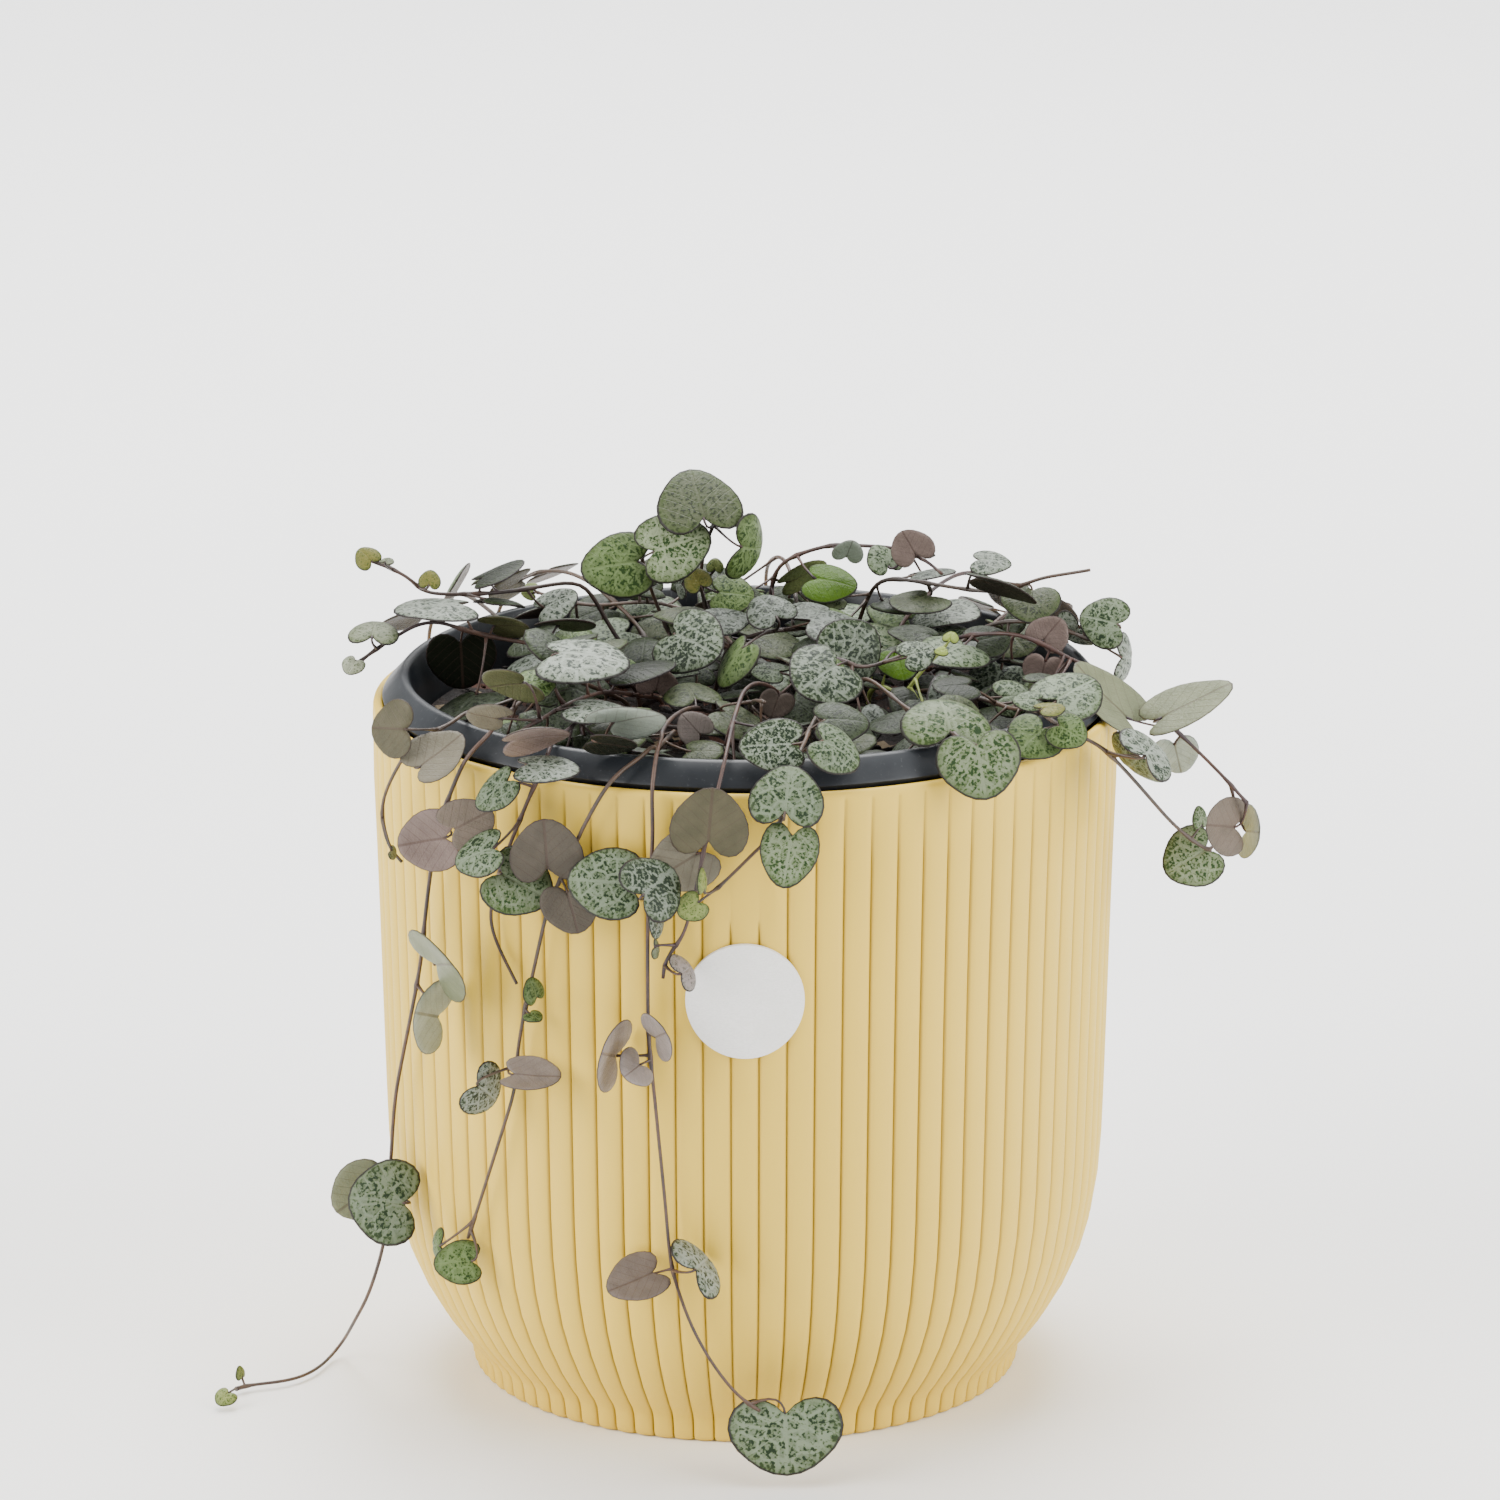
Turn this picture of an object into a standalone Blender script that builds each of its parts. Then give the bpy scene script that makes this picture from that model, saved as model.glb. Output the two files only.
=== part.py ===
"""Potted string of hearts: a ribbed cover pot, a grower's pot, its soil and the trailing stems.

Lengths are in metres. The origin is on the pot's axis at the floor, +Z is up, and the
viewer stands at -Y, looking slightly down. Each stem with its stalks and hearts is one solid.
"""
import math
import random
from collections import namedtuple

import bmesh
import bpy
from mathutils import Matrix, Vector
from mathutils.bvhtree import BVHTree

MM = 0.001
GAP = 0.3 * MM

# Cover pot
RIB_COUNT = 84
GROOVE_DEPTH = 0.55 * MM
WALL = 2.2 * MM
RIM_RADIUS = 70.0 * MM
RIM_HEIGHT = 130.4 * MM
COVER_FLOOR = 4.0 * MM
# The outside from the foot to the rim, as height and radius in mm
COVER_OUTSIDE = [(0.0, 51.8), (5.0, 52.5), (11.0, 57.2), (18.5, 61.8), (29.0, 65.5),
                 (46.0, 67.6), (129.2, 69.9), (130.4, 69.5)]
COVER_INSIDE = [(130.4, 68.1), (129.2, 67.4), (46.0, 65.3), (20.0, 60.2), (4.0, 49.0)]
INSIDE_SEGMENTS = 42
BRIDGE_DROP = 5.0 * MM

# Grower's pot, hung by its collar on the cover pot's rim
COLLAR_TOP = 135.4 * MM
COLLAR_INNER = 62.9 * MM
GROWER_PROFILE = [(0.0, 14.0), (46.0, 14.0), (48.5, 16.0), (62.6, 124.0), (64.4, 127.4), (68.1, 130.9),
                  (67.9, 131.5), (64.7, 135.2), (63.0, 135.2), (61.4, 124.0), (46.6, 15.4), (0.0, 15.4)]
GROWER_SEGMENTS = 40
DRAIN_COUNT = 6
DRAIN_RADIUS = 3.5 * MM
DRAIN_RING = 30.0 * MM

# Soil
SOIL_LEVEL = 125.0 * MM
SOIL_LUMP = 1.3 * MM
SOIL_BOTTOM = 15.9 * MM
SOIL_SEGMENTS = 28
SOIL_RADIUS = 60.95 * MM
SOIL_FOOT = 46.0 * MM

# Label
LABEL_RADIUS = 11.0 * MM
LABEL_SIDES = 24
LABEL_THICKNESS = 0.7 * MM
LABEL_HEIGHT = 91.5 * MM

# The lowest way over soil, collar and rim: distance from the axis and height in mm
OVER_POTS = [(0.0, 126.9), (54.0, 127.2), (61.0, 136.3), (65.6, 136.3), (69.0, 132.6), (70.4, 131.6)]

# Stems and leaves
STEM_RADIUS = 0.70 * MM
TAIL_RADIUS = 0.50 * MM
FINE_STEP = 3.0 * MM
STEM_SLACK = 0.45 * MM
STEM_CLEARANCE = 2.6 * MM
REACH = 3.0 * MM
SETTLE_ROUNDS = 10
HOLE_RADIUS = 1.5 * MM
ROOT_DEPTH = 5.0 * MM
BLADE_MARGIN = 0.32 * MM
ROOT_SPACING = 4.6 * MM
MOST_STALK = 19.0 * MM
LEAST_STALK = 0.9 * MM
# How far a bent stalk may turn back towards its blade
MOST_RETURN = 0.8
# A stalk may be this much longer than the shortest to reach its stem, which is tried in steps
ROOT_SLACK = 4.0 * MM
ROOT_STEP = 2.5 * MM
HEART_SIZES = (1.0, 0.88, 0.76, 0.64)
# How far a leaf without room may move along the line of sight in mm, and turn in degrees
HEART_SHIFTS = (0, 1.5, -1.5, 3, -3, 4.5, -4.5, 6, -6, 8, -8, 10, -10, 12, 14)
HEART_TURNS = ((0, 0), (12, 0), (-12, 0), (0, 12), (0, -12), (24, 0), (-24, 0), (0, 24), (0, -24))
TURN_COST = 0.22
# Half of a heart's edge from the notch to the tip, as fractions of the leaf's width
HALF_HEART = [(0.05, 0.0), (0.31, -0.14), (0.50, 0.17), (0.34, 0.56)]
PLAIN_HALF = [(0.05, 0.0), (0.38, -0.12), (0.47, 0.34)]
PLAIN_BELOW = 8.0
HEART_TIP = 0.76
HEART_MIDDLE = 0.28
BLADE_THICKNESS = 0.62 * MM
BLADE_GAIN = 0.016
STALK_HALF = 0.35 * MM
LEAST_FACING = 0.08

# The front view that the places of stems and hearts are read in
VIEW_TILT = math.radians(15.4)
VIEW_DISTANCE = 1.5
VIEW_POINT = Vector((0.0, 0.0, 0.1196))
VIEW_CENTRE_X = 745.2
VIEW_CENTRE_Y = 750.0
VIEW_SCALE = 0.18844 * MM
RIGHT = Vector((1, 0, 0))
SKYWARD = Vector((0, math.sin(VIEW_TILT), math.cos(VIEW_TILT)))
TOWARDS = Vector((0, -math.cos(VIEW_TILT), math.sin(VIEW_TILT)))
EYE = VIEW_POINT + TOWARDS * VIEW_DISTANCE

# A stem as seen from the front. Each point is px, py and a depth in mm: `over` gives how far
# back it is, `down` its distance from the pot's axis, and `along` its height over the floor.
Vine = namedtuple("Vine", "name over down along hearts fill", defaults=([], [], [], 0))
# A leaf as seen from the front: px and py of its middle, how much nearer than its stem and how
# wide it is in mm, the clock direction of its tip, how far its upper face leans from the viewer
# and in which clock direction, in degrees, and how long it is for its width.
Heart = namedtuple("Heart", "px py near width tip lean turn long", defaults=(1.0,))

VINES = [
    Vine("vine_left_upper", fill=3,
         over=[(650, 686, 22), (625, 650, 24), (600, 610, 24), (582, 582, 22), (545, 586, 20), (507, 592, 18),
               (470, 594, 16), (445, 594, 16), (425, 592, 15), (411, 580, 14), (400, 573, 14), (380, 563, 13),
               (372, 559, 12)],
         hearts=[Heart(367, 557, 1, 5.2, 315, 25, 0), Heart(388, 561, 1, 2.8, 50, 60, 0),
                 Heart(430, 580, 1, 4.4, 8, 20, 0), Heart(496, 572, 0, 12.0, 65, 74, 335),
                 Heart(500, 600, 1, 10.5, 95, 78, 10), Heart(553, 601, 3, 9.8, 55, 52, 315)]),
    Vine("vine_left_lower",
         over=[(600, 700, 8), (575, 665, 8), (541, 646, 8), (496, 638, 9), (461, 629, 9), (440, 622, 9),
               (419, 624, 9), (400, 634, 8), (375, 650, 7), (362, 660, 6), (353, 667, 6)],
         hearts=[Heart(374, 630, 0, 9.8, 12, 58, 0), Heart(353, 665, 1, 4.6, 215, 35, 0),
                 Heart(437, 606, 1, 17.2, 268, 74, 2), Heart(505, 626, 0, 10.5, 100, 104, 20),
                 Heart(461, 656, -2, 13.5, 178, 150, 350), Heart(568, 622, 0, 12.0, 80, 100, 0)]),
    Vine("vine_left_thin",
         over=[(633, 712, 3), (600, 690, -4), (565, 680, -14), (515, 699, -26), (480, 711, -33)],
         down=[(462, 718, 64.5), (440, 729, 71.5), (413, 744, 76.0), (399, 765, 76.5), (388, 786, 76.5),
               (381, 812, 76.0), (388, 845, 75.0), (402, 862, 73.5)],
         hearts=[Heart(398, 729, 1, 11.0, 272, 128, 95), Heart(437, 763, 3, 11.5, 72, 128, 190, 1.15),
                 Heart(394, 853, 1, 2.8, 150, 60, 90)]),
    Vine("vine_left_long",
         over=[(640, 700, 12), (612, 672, 2), (582, 676, -8), (534, 693, -22)],
         down=[(503, 718, 64.3), (484, 740, 71.6), (467, 757, 74.5), (448, 800, 74.0), (435, 845, 73.5),
               (426, 910, 73.0), (421, 960, 72.5), (412, 1010, 72.0), (402, 1060, 72.0), (395, 1100, 72.0),
               (391, 1157, 72.5), (388, 1200, 73.0), (384, 1242, 74.0), (370, 1290, 74.7), (355, 1320, 76.0),
               (340, 1345, 77.7)],
         along=[(318, 1368, 1.2), (290, 1380, 1.2), (250, 1385, 1.2), (236, 1389, 1.2)],
         hearts=[Heart(431, 839, -2, 12.2, 262, 165, 0), Heart(470, 821, -1, 11.0, 62, 155, 0),
                 Heart(445, 961, 2, 16.2, 78, 112, 78), Heart(430, 1013, 2, 14.5, 285, 118, 285),
                 Heart(420, 942, -1, 10.0, 272, 112, 270), Heart(386, 1200, 4, 16.6, 276, 10, 0, 0.88),
                 Heart(366, 1191, -2, 14.5, 238, 150, 0), Heart(241, 1373, 0, 3.0, 350, 60, 90),
                 Heart(227, 1394, 2, 4.4, 225, 40, 0)]),
    Vine("vine_front_left",
         over=[(640, 714, -4), (610, 704, -16), (588, 714, -34)],
         down=[(566, 732, 58.5), (552, 752, 65.5), (538, 778, 72.5), (520, 820, 73.0), (502, 866, 73.0),
               (492, 900, 72.5), (491, 925, 72.0), (500, 950, 71.5), (517, 984, 71.5)],
         hearts=[Heart(546, 766, 2, 13.2, 92, 67, 0), Heart(497, 790, 2, 9.5, 232, 48, 315, 1.1),
                 Heart(481, 853, 4, 10.8, 250, 44, 325), Heart(519, 882, 3, 13.2, 118, 15, 0, 1.05)]),
    Vine("vine_front_middle",
         over=[(690, 712, 6), (682, 722, -14), (668, 738, -40)],
         down=[(650, 754, 64.2), (630, 764, 67.8), (610, 782, 71.8), (595, 806, 73.0), (579, 836, 73.0),
               (565, 872, 73.0), (557, 886, 73.0), (547, 912, 72.5), (533, 974, 72.0), (525, 1010, 72.0),
               (518, 1050, 72.0), (515, 1088, 71.5), (503, 1129, 71.0), (491, 1167, 71.0), (478, 1208, 70.5),
               (468, 1238, 70.0)],
         hearts=[Heart(547, 851, -1, 13.6, 356, 160, 0), Heart(572, 905, -1, 11.0, 165, 162, 0),
                 Heart(535, 990, 1, 5.4, 340, 45, 90), Heart(534, 1016, 1, 3.8, 120, 55, 0),
                 Heart(531, 1076, 1, 11.0, 96, 124, 180, 1.1), Heart(485, 1091, 2, 10.8, 132, 50, 132),
                 Heart(459, 1262, 2, 8.6, 266, 12, 0, 1.15), Heart(436, 1247, 0, 7.0, 262, 68, 270)]),
    Vine("vine_front_long",
         over=[(722, 720, 0), (712, 712, -10), (690, 708, -25), (668, 722, -45)],
         down=[(658, 745, 65.5), (655, 768, 69.8), (652, 790, 72.2), (653, 837, 72.5), (650, 880, 73.0),
               (648, 930, 72.5), (648, 988, 72.0), (649, 1040, 72.0), (654, 1090, 72.0), (660, 1150, 71.5),
               (666, 1210, 71.0), (671, 1264, 71.5), (680, 1295, 72.0), (692, 1327, 73.0), (714, 1366, 73.5),
               (738, 1396, 73.5), (760, 1411, 73.5)],
         hearts=[Heart(607, 882, 2, 13.6, 275, 12, 0, 1.1), Heart(650, 889, 4, 13.0, 50, 62, 50),
                 Heart(658, 921, 3, 7.0, 185, 66, 90), Heart(610, 1054, 1, 14.0, 288, 110, 288),
                 Heart(661, 1034, 1, 9.8, 62, 114, 62), Heart(634, 1069, 3, 8.0, 235, 124, 235, 1.15),
                 Heart(638, 1281, 1, 11.4, 246, 138, 170, 1.1), Heart(698, 1266, 2, 13.0, 52, 78, 52),
                 Heart(786, 1434, 1, 21.4, 178, 5, 0, 0.74)]),
    Vine("vine_front_purple",
         over=[(790, 715, 0), (778, 692, -8), (760, 683, -16), (745, 690, -26), (735, 716, -42)],
         down=[(729, 742, 63.5), (724, 765, 68.6), (718, 790, 72.5), (710, 825, 73.5), (703, 855, 74.0),
               (697, 885, 74.0), (690, 915, 73.5), (682, 938, 73.0), (670, 953, 72.5), (655, 978, 72.0)],
         hearts=[Heart(710, 823, -1, 14.4, 5, 163, 0), Heart(682, 862, 3, 12.8, 240, 163, 0, 1.1),
                 Heart(683, 972, 2, 7.6, 60, 74, 60), Heart(657, 950, 2, 3.8, 150, 70, 90)]),
    Vine("vine_front_right",
         over=[(850, 718, 0), (842, 700, -15), (825, 705, -32), (812, 725, -46), (803, 748, -60)],
         down=[(797, 770, 67.6), (789, 795, 72.0), (781, 822, 73.0), (768, 840, 73.0), (755, 852, 73.0),
               (735, 872, 74.0), (718, 888, 76.0)],
         hearts=[Heart(774, 745, 2, 10.6, 268, 20, 0, 1.25), Heart(836, 748, 3, 11.4, 122, 44, 40),
                 Heart(787, 796, 3, 13.8, 6, 20, 0, 0.95), Heart(789, 853, 4, 10.8, 190, 18, 0, 1.25),
                 Heart(704, 882, 3, 5.6, 0, 50, 90), Heart(692, 907, 4, 6.0, 235, 20, 0)]),
    Vine("vine_right_front",
         over=[(835, 712, 5), (850, 690, -8), (866, 678, -18), (888, 693, -27), (908, 709, -36),
               (935, 722, -48), (958, 736, -56), (965, 746, -59)],
         hearts=[Heart(948, 719, 2, 15.6, 345, 40, 0), Heart(980, 762, 4, 15.6, 170, 18, 0, 0.92)]),
    Vine("vine_right_low", fill=3,
         over=[(900, 706, 10), (930, 690, 0), (975, 697, -15), (1015, 710, -28), (1043, 722, -36),
               (1072, 733, -40), (1099, 745, -39), (1125, 770, -34), (1150, 798, -30), (1175, 826, -26),
               (1200, 846, -24), (1212, 850, -24)],
         hearts=[Heart(1033, 739, 4, 11.0, 225, 28, 0), Heart(1067, 731, 4, 8.0, 120, 28, 0),
                 Heart(1048, 708, 1, 6.2, 80, 64, 0), Heart(1028, 700, 1, 6.2, 275, 52, 0),
                 Heart(1130, 768, 2, 13.2, 222, 46, 222), Heart(1147, 751, 1, 12.6, 45, 62, 45),
                 Heart(1193, 858, 2, 12.0, 240, 10, 0), Heart(1201, 818, 0, 4.8, 355, 52, 90)]),
    Vine("vine_right_long",
         over=[(905, 683, 26), (925, 660, 18), (951, 640, 10), (982, 634, 4), (1020, 635, 0), (1058, 652, -2),
               (1097, 676, -4), (1135, 699, -6), (1150, 707, -7), (1181, 735, -8), (1212, 765, -9),
               (1232, 786, -10), (1247, 803, -10)],
         hearts=[Heart(1049, 632, -1, 8.4, 38, 150, 0), Heart(1043, 669, 1, 8.2, 195, 145, 0),
                 Heart(1106, 702, 1, 15.5, 312, 124, 222, 1.25), Heart(1183, 708, 1, 15.0, 66, 120, 156, 1.35),
                 Heart(1177, 753, -1, 8.8, 165, 150, 0), Heart(1223, 826, 1, 11.4, 275, 136, 275, 1.1),
                 Heart(1254, 832, 0, 10.4, 95, 112, 95)]),
    Vine("vine_young_shoot",
         over=[(868, 703, 12), (880, 686, 4), (893, 691, -4), (905, 694, -9), (915, 679, -11), (931, 661, -11),
               (947, 644, -9)],
         hearts=[Heart(951, 637, 1, 3.2, 20, 40, 0), Heart(941, 651, 2, 2.8, 260, 50, 0)]),
    Vine("vine_top_right", fill=3,
         over=[(765, 656, 45), (768, 610, 44), (778, 566, 40), (803, 553, 38), (831, 545, 36), (866, 546, 32),
               (896, 548, 28), (925, 560, 22), (942, 574, 18)],
         hearts=[Heart(848, 551, 2, 6.2, 20, 140, 0), Heart(800, 574, 2, 11.5, 60, 112, 330),
                 Heart(884, 559, 3, 7.4, 330, 20, 0), Heart(911, 547, -2, 8.6, 330, 150, 0),
                 Heart(829, 581, 8, 11.6, 100, 48, 0)]),
    Vine("vine_top_far_right", fill=2,
         over=[(850, 660, 42), (862, 612, 38), (880, 580, 34), (920, 582, 28), (957, 588, 22), (995, 592, 16),
               (1020, 586, 14), (1041, 578, 12), (1066, 574, 10), (1090, 570, 8)],
         hearts=[Heart(990, 561, 1, 8.6, 95, 56, 0), Heart(1000, 585, 4, 15.8, 108, 74, 15),
                 Heart(1030, 603, -3, 11.8, 190, 35, 0), Heart(918, 597, 3, 12.5, 265, 78, 10),
                 Heart(930, 572, -2, 10.5, 80, 80, 350)]),
    Vine("vine_right_middle", fill=2,
         over=[(940, 677, 30), (960, 642, 24), (1000, 622, 18), (1050, 625, 12), (1085, 638, 8), (1097, 642, 7)],
         hearts=[Heart(1105, 621, 1, 10.6, 285, 18, 0, 0.96), Heart(1127, 658, 0, 9.8, 95, 66, 95),
                 Heart(1077, 632, 3, 9.4, 215, 58, 215), Heart(974, 654, 6, 11.6, 100, 58, 0),
                 Heart(997, 681, 10, 11.8, 200, 34, 0)]),
    Vine("vine_upright_tall",
         over=[(735, 690, 20), (722, 650, 20), (705, 605, 20), (700, 575, 18), (706, 545, 16), (714, 523, 14)],
         hearts=[Heart(699, 501, 1, 16.6, 345, 34, 10), Heart(750, 548, 1, 13.2, 95, 60, 95),
                 Heart(731, 594, 3, 9.6, 95, 32, 0), Heart(715, 566, 1, 3.4, 5, 30, 0),
                 Heart(697, 580, 4, 5.6, 330, 20, 0), Heart(680, 584, 3, 6.0, 270, 68, 270)]),
    Vine("vine_upright_left",
         over=[(690, 686, 24), (672, 640, 24), (655, 600, 22), (646, 575, 19), (642, 558, 17)],
         hearts=[Heart(619, 565, 1, 13.2, 262, 15, 0, 1.15), Heart(673, 546, 2, 13.6, 72, 14, 0, 1.15)]),
    Vine("vine_mound_middle",
         over=[(714, 706, 10), (718, 680, 4), (724, 655, 1), (738, 640, 0), (765, 632, 1), (792, 629, 3),
               (815, 628, 6)],
         hearts=[Heart(680, 611, 1, 11.0, 270, 72, 0), Heart(725, 618, 2, 10.6, 80, 60, 0),
                 Heart(690, 641, 5, 14.6, 115, 36, 330), Heart(770, 609, 1, 9.8, 320, 44, 0),
                 Heart(810, 606, -2, 8.0, 90, 72, 0), Heart(828, 621, 2, 16.6, 86, 68, 10),
                 Heart(734, 660, 8, 12.0, 215, 60, 305)]),
    Vine("vine_mound_right",
         over=[(800, 708, 8), (806, 682, -2), (820, 662, -9), (838, 657, -13), (856, 668, -14), (880, 664, -10),
               (902, 655, -6)],
         hearts=[Heart(855, 646, 4, 14.8, 50, 28, 0), Heart(822, 679, 8, 14.8, 228, 24, 0),
                 Heart(770, 671, 3, 8.0, 280, 60, 0), Heart(900, 662, 2, 8.6, 165, 38, 0),
                 Heart(916, 654, 3, 7.8, 70, 40, 0), Heart(864, 722, 8, 9.0, 160, 30, 0),
                 Heart(776, 703, 6, 6.8, 200, 150, 0)]),
    Vine("vine_mound_left",
         over=[(664, 708, 8), (640, 696, 0), (612, 692, -12), (585, 697, -24), (560, 708, -36), (540, 720, -46)],
         hearts=[Heart(582, 655, 4, 18.6, 95, 62, 0), Heart(512, 682, 0, 12.4, 268, 112, 20),
                 Heart(491, 715, 1, 9.0, 285, 122, 0), Heart(538, 739, 5, 15.8, 90, 108, 0),
                 Heart(597, 707, 8, 13.6, 95, 72, 0), Heart(658, 680, 6, 8.2, 10, 150, 0)]),
    Vine("vine_mound_front",
         over=[(706, 722, -8), (690, 726, -22), (672, 730, -36), (650, 735, -46), (625, 738, -52),
               (606, 738, -54)],
         hearts=[Heart(690, 721, 6, 10.6, 320, 165, 0, 1.1), Heart(629, 717, 4, 15.2, 75, 112, 0),
                 Heart(611, 742, 4, 10.4, 95, 110, 0), Heart(648, 751, 6, 11.4, 100, 114, 0)]),
    Vine("vine_mound_centre",
         over=[(752, 716, -4), (750, 706, -18), (752, 700, -30), (765, 702, -40)],
         hearts=[Heart(742, 712, 6, 13.8, 95, 66, 0)]),
]

# Stems that the front view doesn't reach: x, y and z in mm
HIDDEN_VINES = [
    ("vine_back_long",
     [(8, 30, 125), (10, 42, 136), (8, 56, 142), (5, 66, 140), (4, 74, 132), (6, 76, 110), (12, 75, 86),
      (16, 73, 62), (18, 71, 40)]),
    ("vine_back_left",
     [(-16, 28, 125), (-22, 40, 135), (-34, 52, 141), (-45, 59, 137), (-50, 62, 124), (-52, 58, 104),
      (-50, 56, 88)]),
    ("vine_back_right",
     [(26, 30, 125), (32, 42, 136), (42, 52, 141), (50, 58, 136), (53, 62, 122), (52, 60, 100), (48, 59, 80),
      (45, 58, 64)]),
    ("vine_side_right",
     [(30, 12, 125), (42, 20, 134), (53, 31, 140), (61, 41, 134), (63, 45, 118), (62, 46, 100)]),
    ("vine_side_left",
     [(-34, 24, 125), (-45, 32, 135), (-55, 40, 140), (-61, 47, 132), (-61, 49, 118), (-60, 49, 100),
      (-58, 48, 84)]),
    ("vine_mound_back",
     [(0, 18, 125), (-4, 24, 136), (-16, 32, 140), (-30, 38, 138), (-40, 44, 139)]),
]

# Leaves that fill a stem between the placed ones, and low ones that hide the soil
FILL_END = 0.4
FILL_KEEP = 7.0 * MM
FILL_SMALLEST = 8.0 * MM
FILL_LARGEST = 13.5 * MM
FILL_STALK = 4.0 * MM
FILL_TRIES = 5
MOUND_LEVEL = 131.0 * MM
HIDDEN_NODES = 2
FILL_SIDE = 71.0 * MM
FILL_TOP = 143.0 * MM
# The part of the front view where low leaves hide the soil: left, right, top and bottom
COVER_WINDOW = (570, 1090, 612, 776)
COVER_STEP = 27
COVER_LIMIT = 20
COVER_WIDTHS = (14.0, 11.5, 9.5)
COVER_LIFTS = (4, 6, 8, 10, 12, 14)
# The grid over the pot from which low leaves hide the soil as seen from above
OVERHEAD_STEP = 13.0 * MM
OVERHEAD_ROWS = 4
OVERHEAD_REACH = 54.0 * MM
SEED = 11

COLORS = {
    "cover_pot": (0.74, 0.58, 0.30, 0.55),
    "label": (0.80, 0.80, 0.78, 0.45),
    "nursery_pot": (0.030, 0.034, 0.042, 0.42),
    "soil": (0.035, 0.020, 0.012, 0.95),
    "vine": (0.22, 0.28, 0.20, 0.50),
}


def clear_scene():
    """Remove whatever the open file holds."""
    for thing in list(bpy.data.objects):
        bpy.data.objects.remove(thing, do_unlink=True)


def make_material(name, kind):
    """A Principled material in one of the part's own colours."""
    red, green, blue, roughness = COLORS[kind]
    material = bpy.data.materials.new(name)
    material.use_nodes = True
    shader = material.node_tree.nodes["Principled BSDF"]
    shader.inputs["Base Color"].default_value = (red, green, blue, 1.0)
    shader.inputs["Roughness"].default_value = roughness
    shader.inputs["Metallic"].default_value = 0.0
    return material


def add_object(name, bm, kind, smooth_angle=40.0):
    """Turn a finished bmesh into a named object of the scene."""
    mesh = bpy.data.meshes.new(name)
    bm.to_mesh(mesh)
    bm.free()
    mesh.shade_smooth()
    mesh.set_sharp_from_angle(angle=math.radians(smooth_angle))
    thing = bpy.data.objects.new(name, mesh)
    bpy.context.scene.collection.objects.link(thing)
    mesh.materials.append(make_material(name, kind))
    return thing


def cut_with(target, cutters):
    """Subtract all the cutter objects from the target and remove them."""
    group = bpy.data.collections.new("cutters")
    bpy.context.scene.collection.children.link(group)
    for cutter in cutters:
        cutter.hide_render = True
        cutter.display_type = "WIRE"
        group.objects.link(cutter)
        bpy.context.scene.collection.objects.unlink(cutter)
    apply_boolean(target, group, "DIFFERENCE", "EXACT")


def apply_boolean(target, group, operation, solver):
    """Apply one Boolean with a whole collection and remove what it used."""
    modifier = target.modifiers.new("join", "BOOLEAN")
    modifier.operand_type = "COLLECTION"
    modifier.collection = group
    modifier.operation = operation
    modifier.solver = solver
    graph = bpy.context.evaluated_depsgraph_get()
    mesh = bpy.data.meshes.new_from_object(target.evaluated_get(graph))
    target.modifiers.remove(modifier)
    old = target.data
    target.data = mesh
    bpy.data.meshes.remove(old)
    for thing in list(group.objects):
        bpy.data.objects.remove(thing, do_unlink=True)
    bpy.data.collections.remove(group)


def profile_radius(profile, height):
    """Radius of a pot's outside at a height, between the points of its profile."""
    level = height / MM
    for (low, inner), (high, outer) in zip(profile, profile[1:]):
        if low <= level <= high:
            return (inner + (outer - inner) * (level - low) / (high - low)) * MM
    return profile[-1][1] * MM


def ring_of(bm, count, radius, height):
    """A closed loop of vertices round the axis."""
    made = bmesh.ops.create_circle(bm, segments=count, radius=radius,
                                   matrix=Matrix.Translation((0, 0, height)))
    return made["verts"]


def ring_edges(verts):
    """The edges that run along a loop of vertices."""
    loop = set(verts)
    return [edge for edge in {e for v in verts for e in v.link_edges} if set(edge.verts) <= loop]


def raise_ring(bm, verts, radius, height):
    """Extrude a loop to a new radius and height and return the new loop."""
    made = bmesh.ops.extrude_edge_only(bm, edges=ring_edges(verts))
    fresh = [item for item in made["geom"] if isinstance(item, bmesh.types.BMVert)]
    for vert in fresh:
        flat = Vector((vert.co.x, vert.co.y, 0.0)).normalized() * radius
        vert.co = Vector((flat.x, flat.y, height))
    return fresh


def is_groove(vert, steps):
    """Whether a vertex of a ribbed loop lies at the bottom of a groove."""
    angle = math.atan2(vert.co.y, vert.co.x) / (2 * math.pi) * steps
    return round(angle) % 2 == 1


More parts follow.
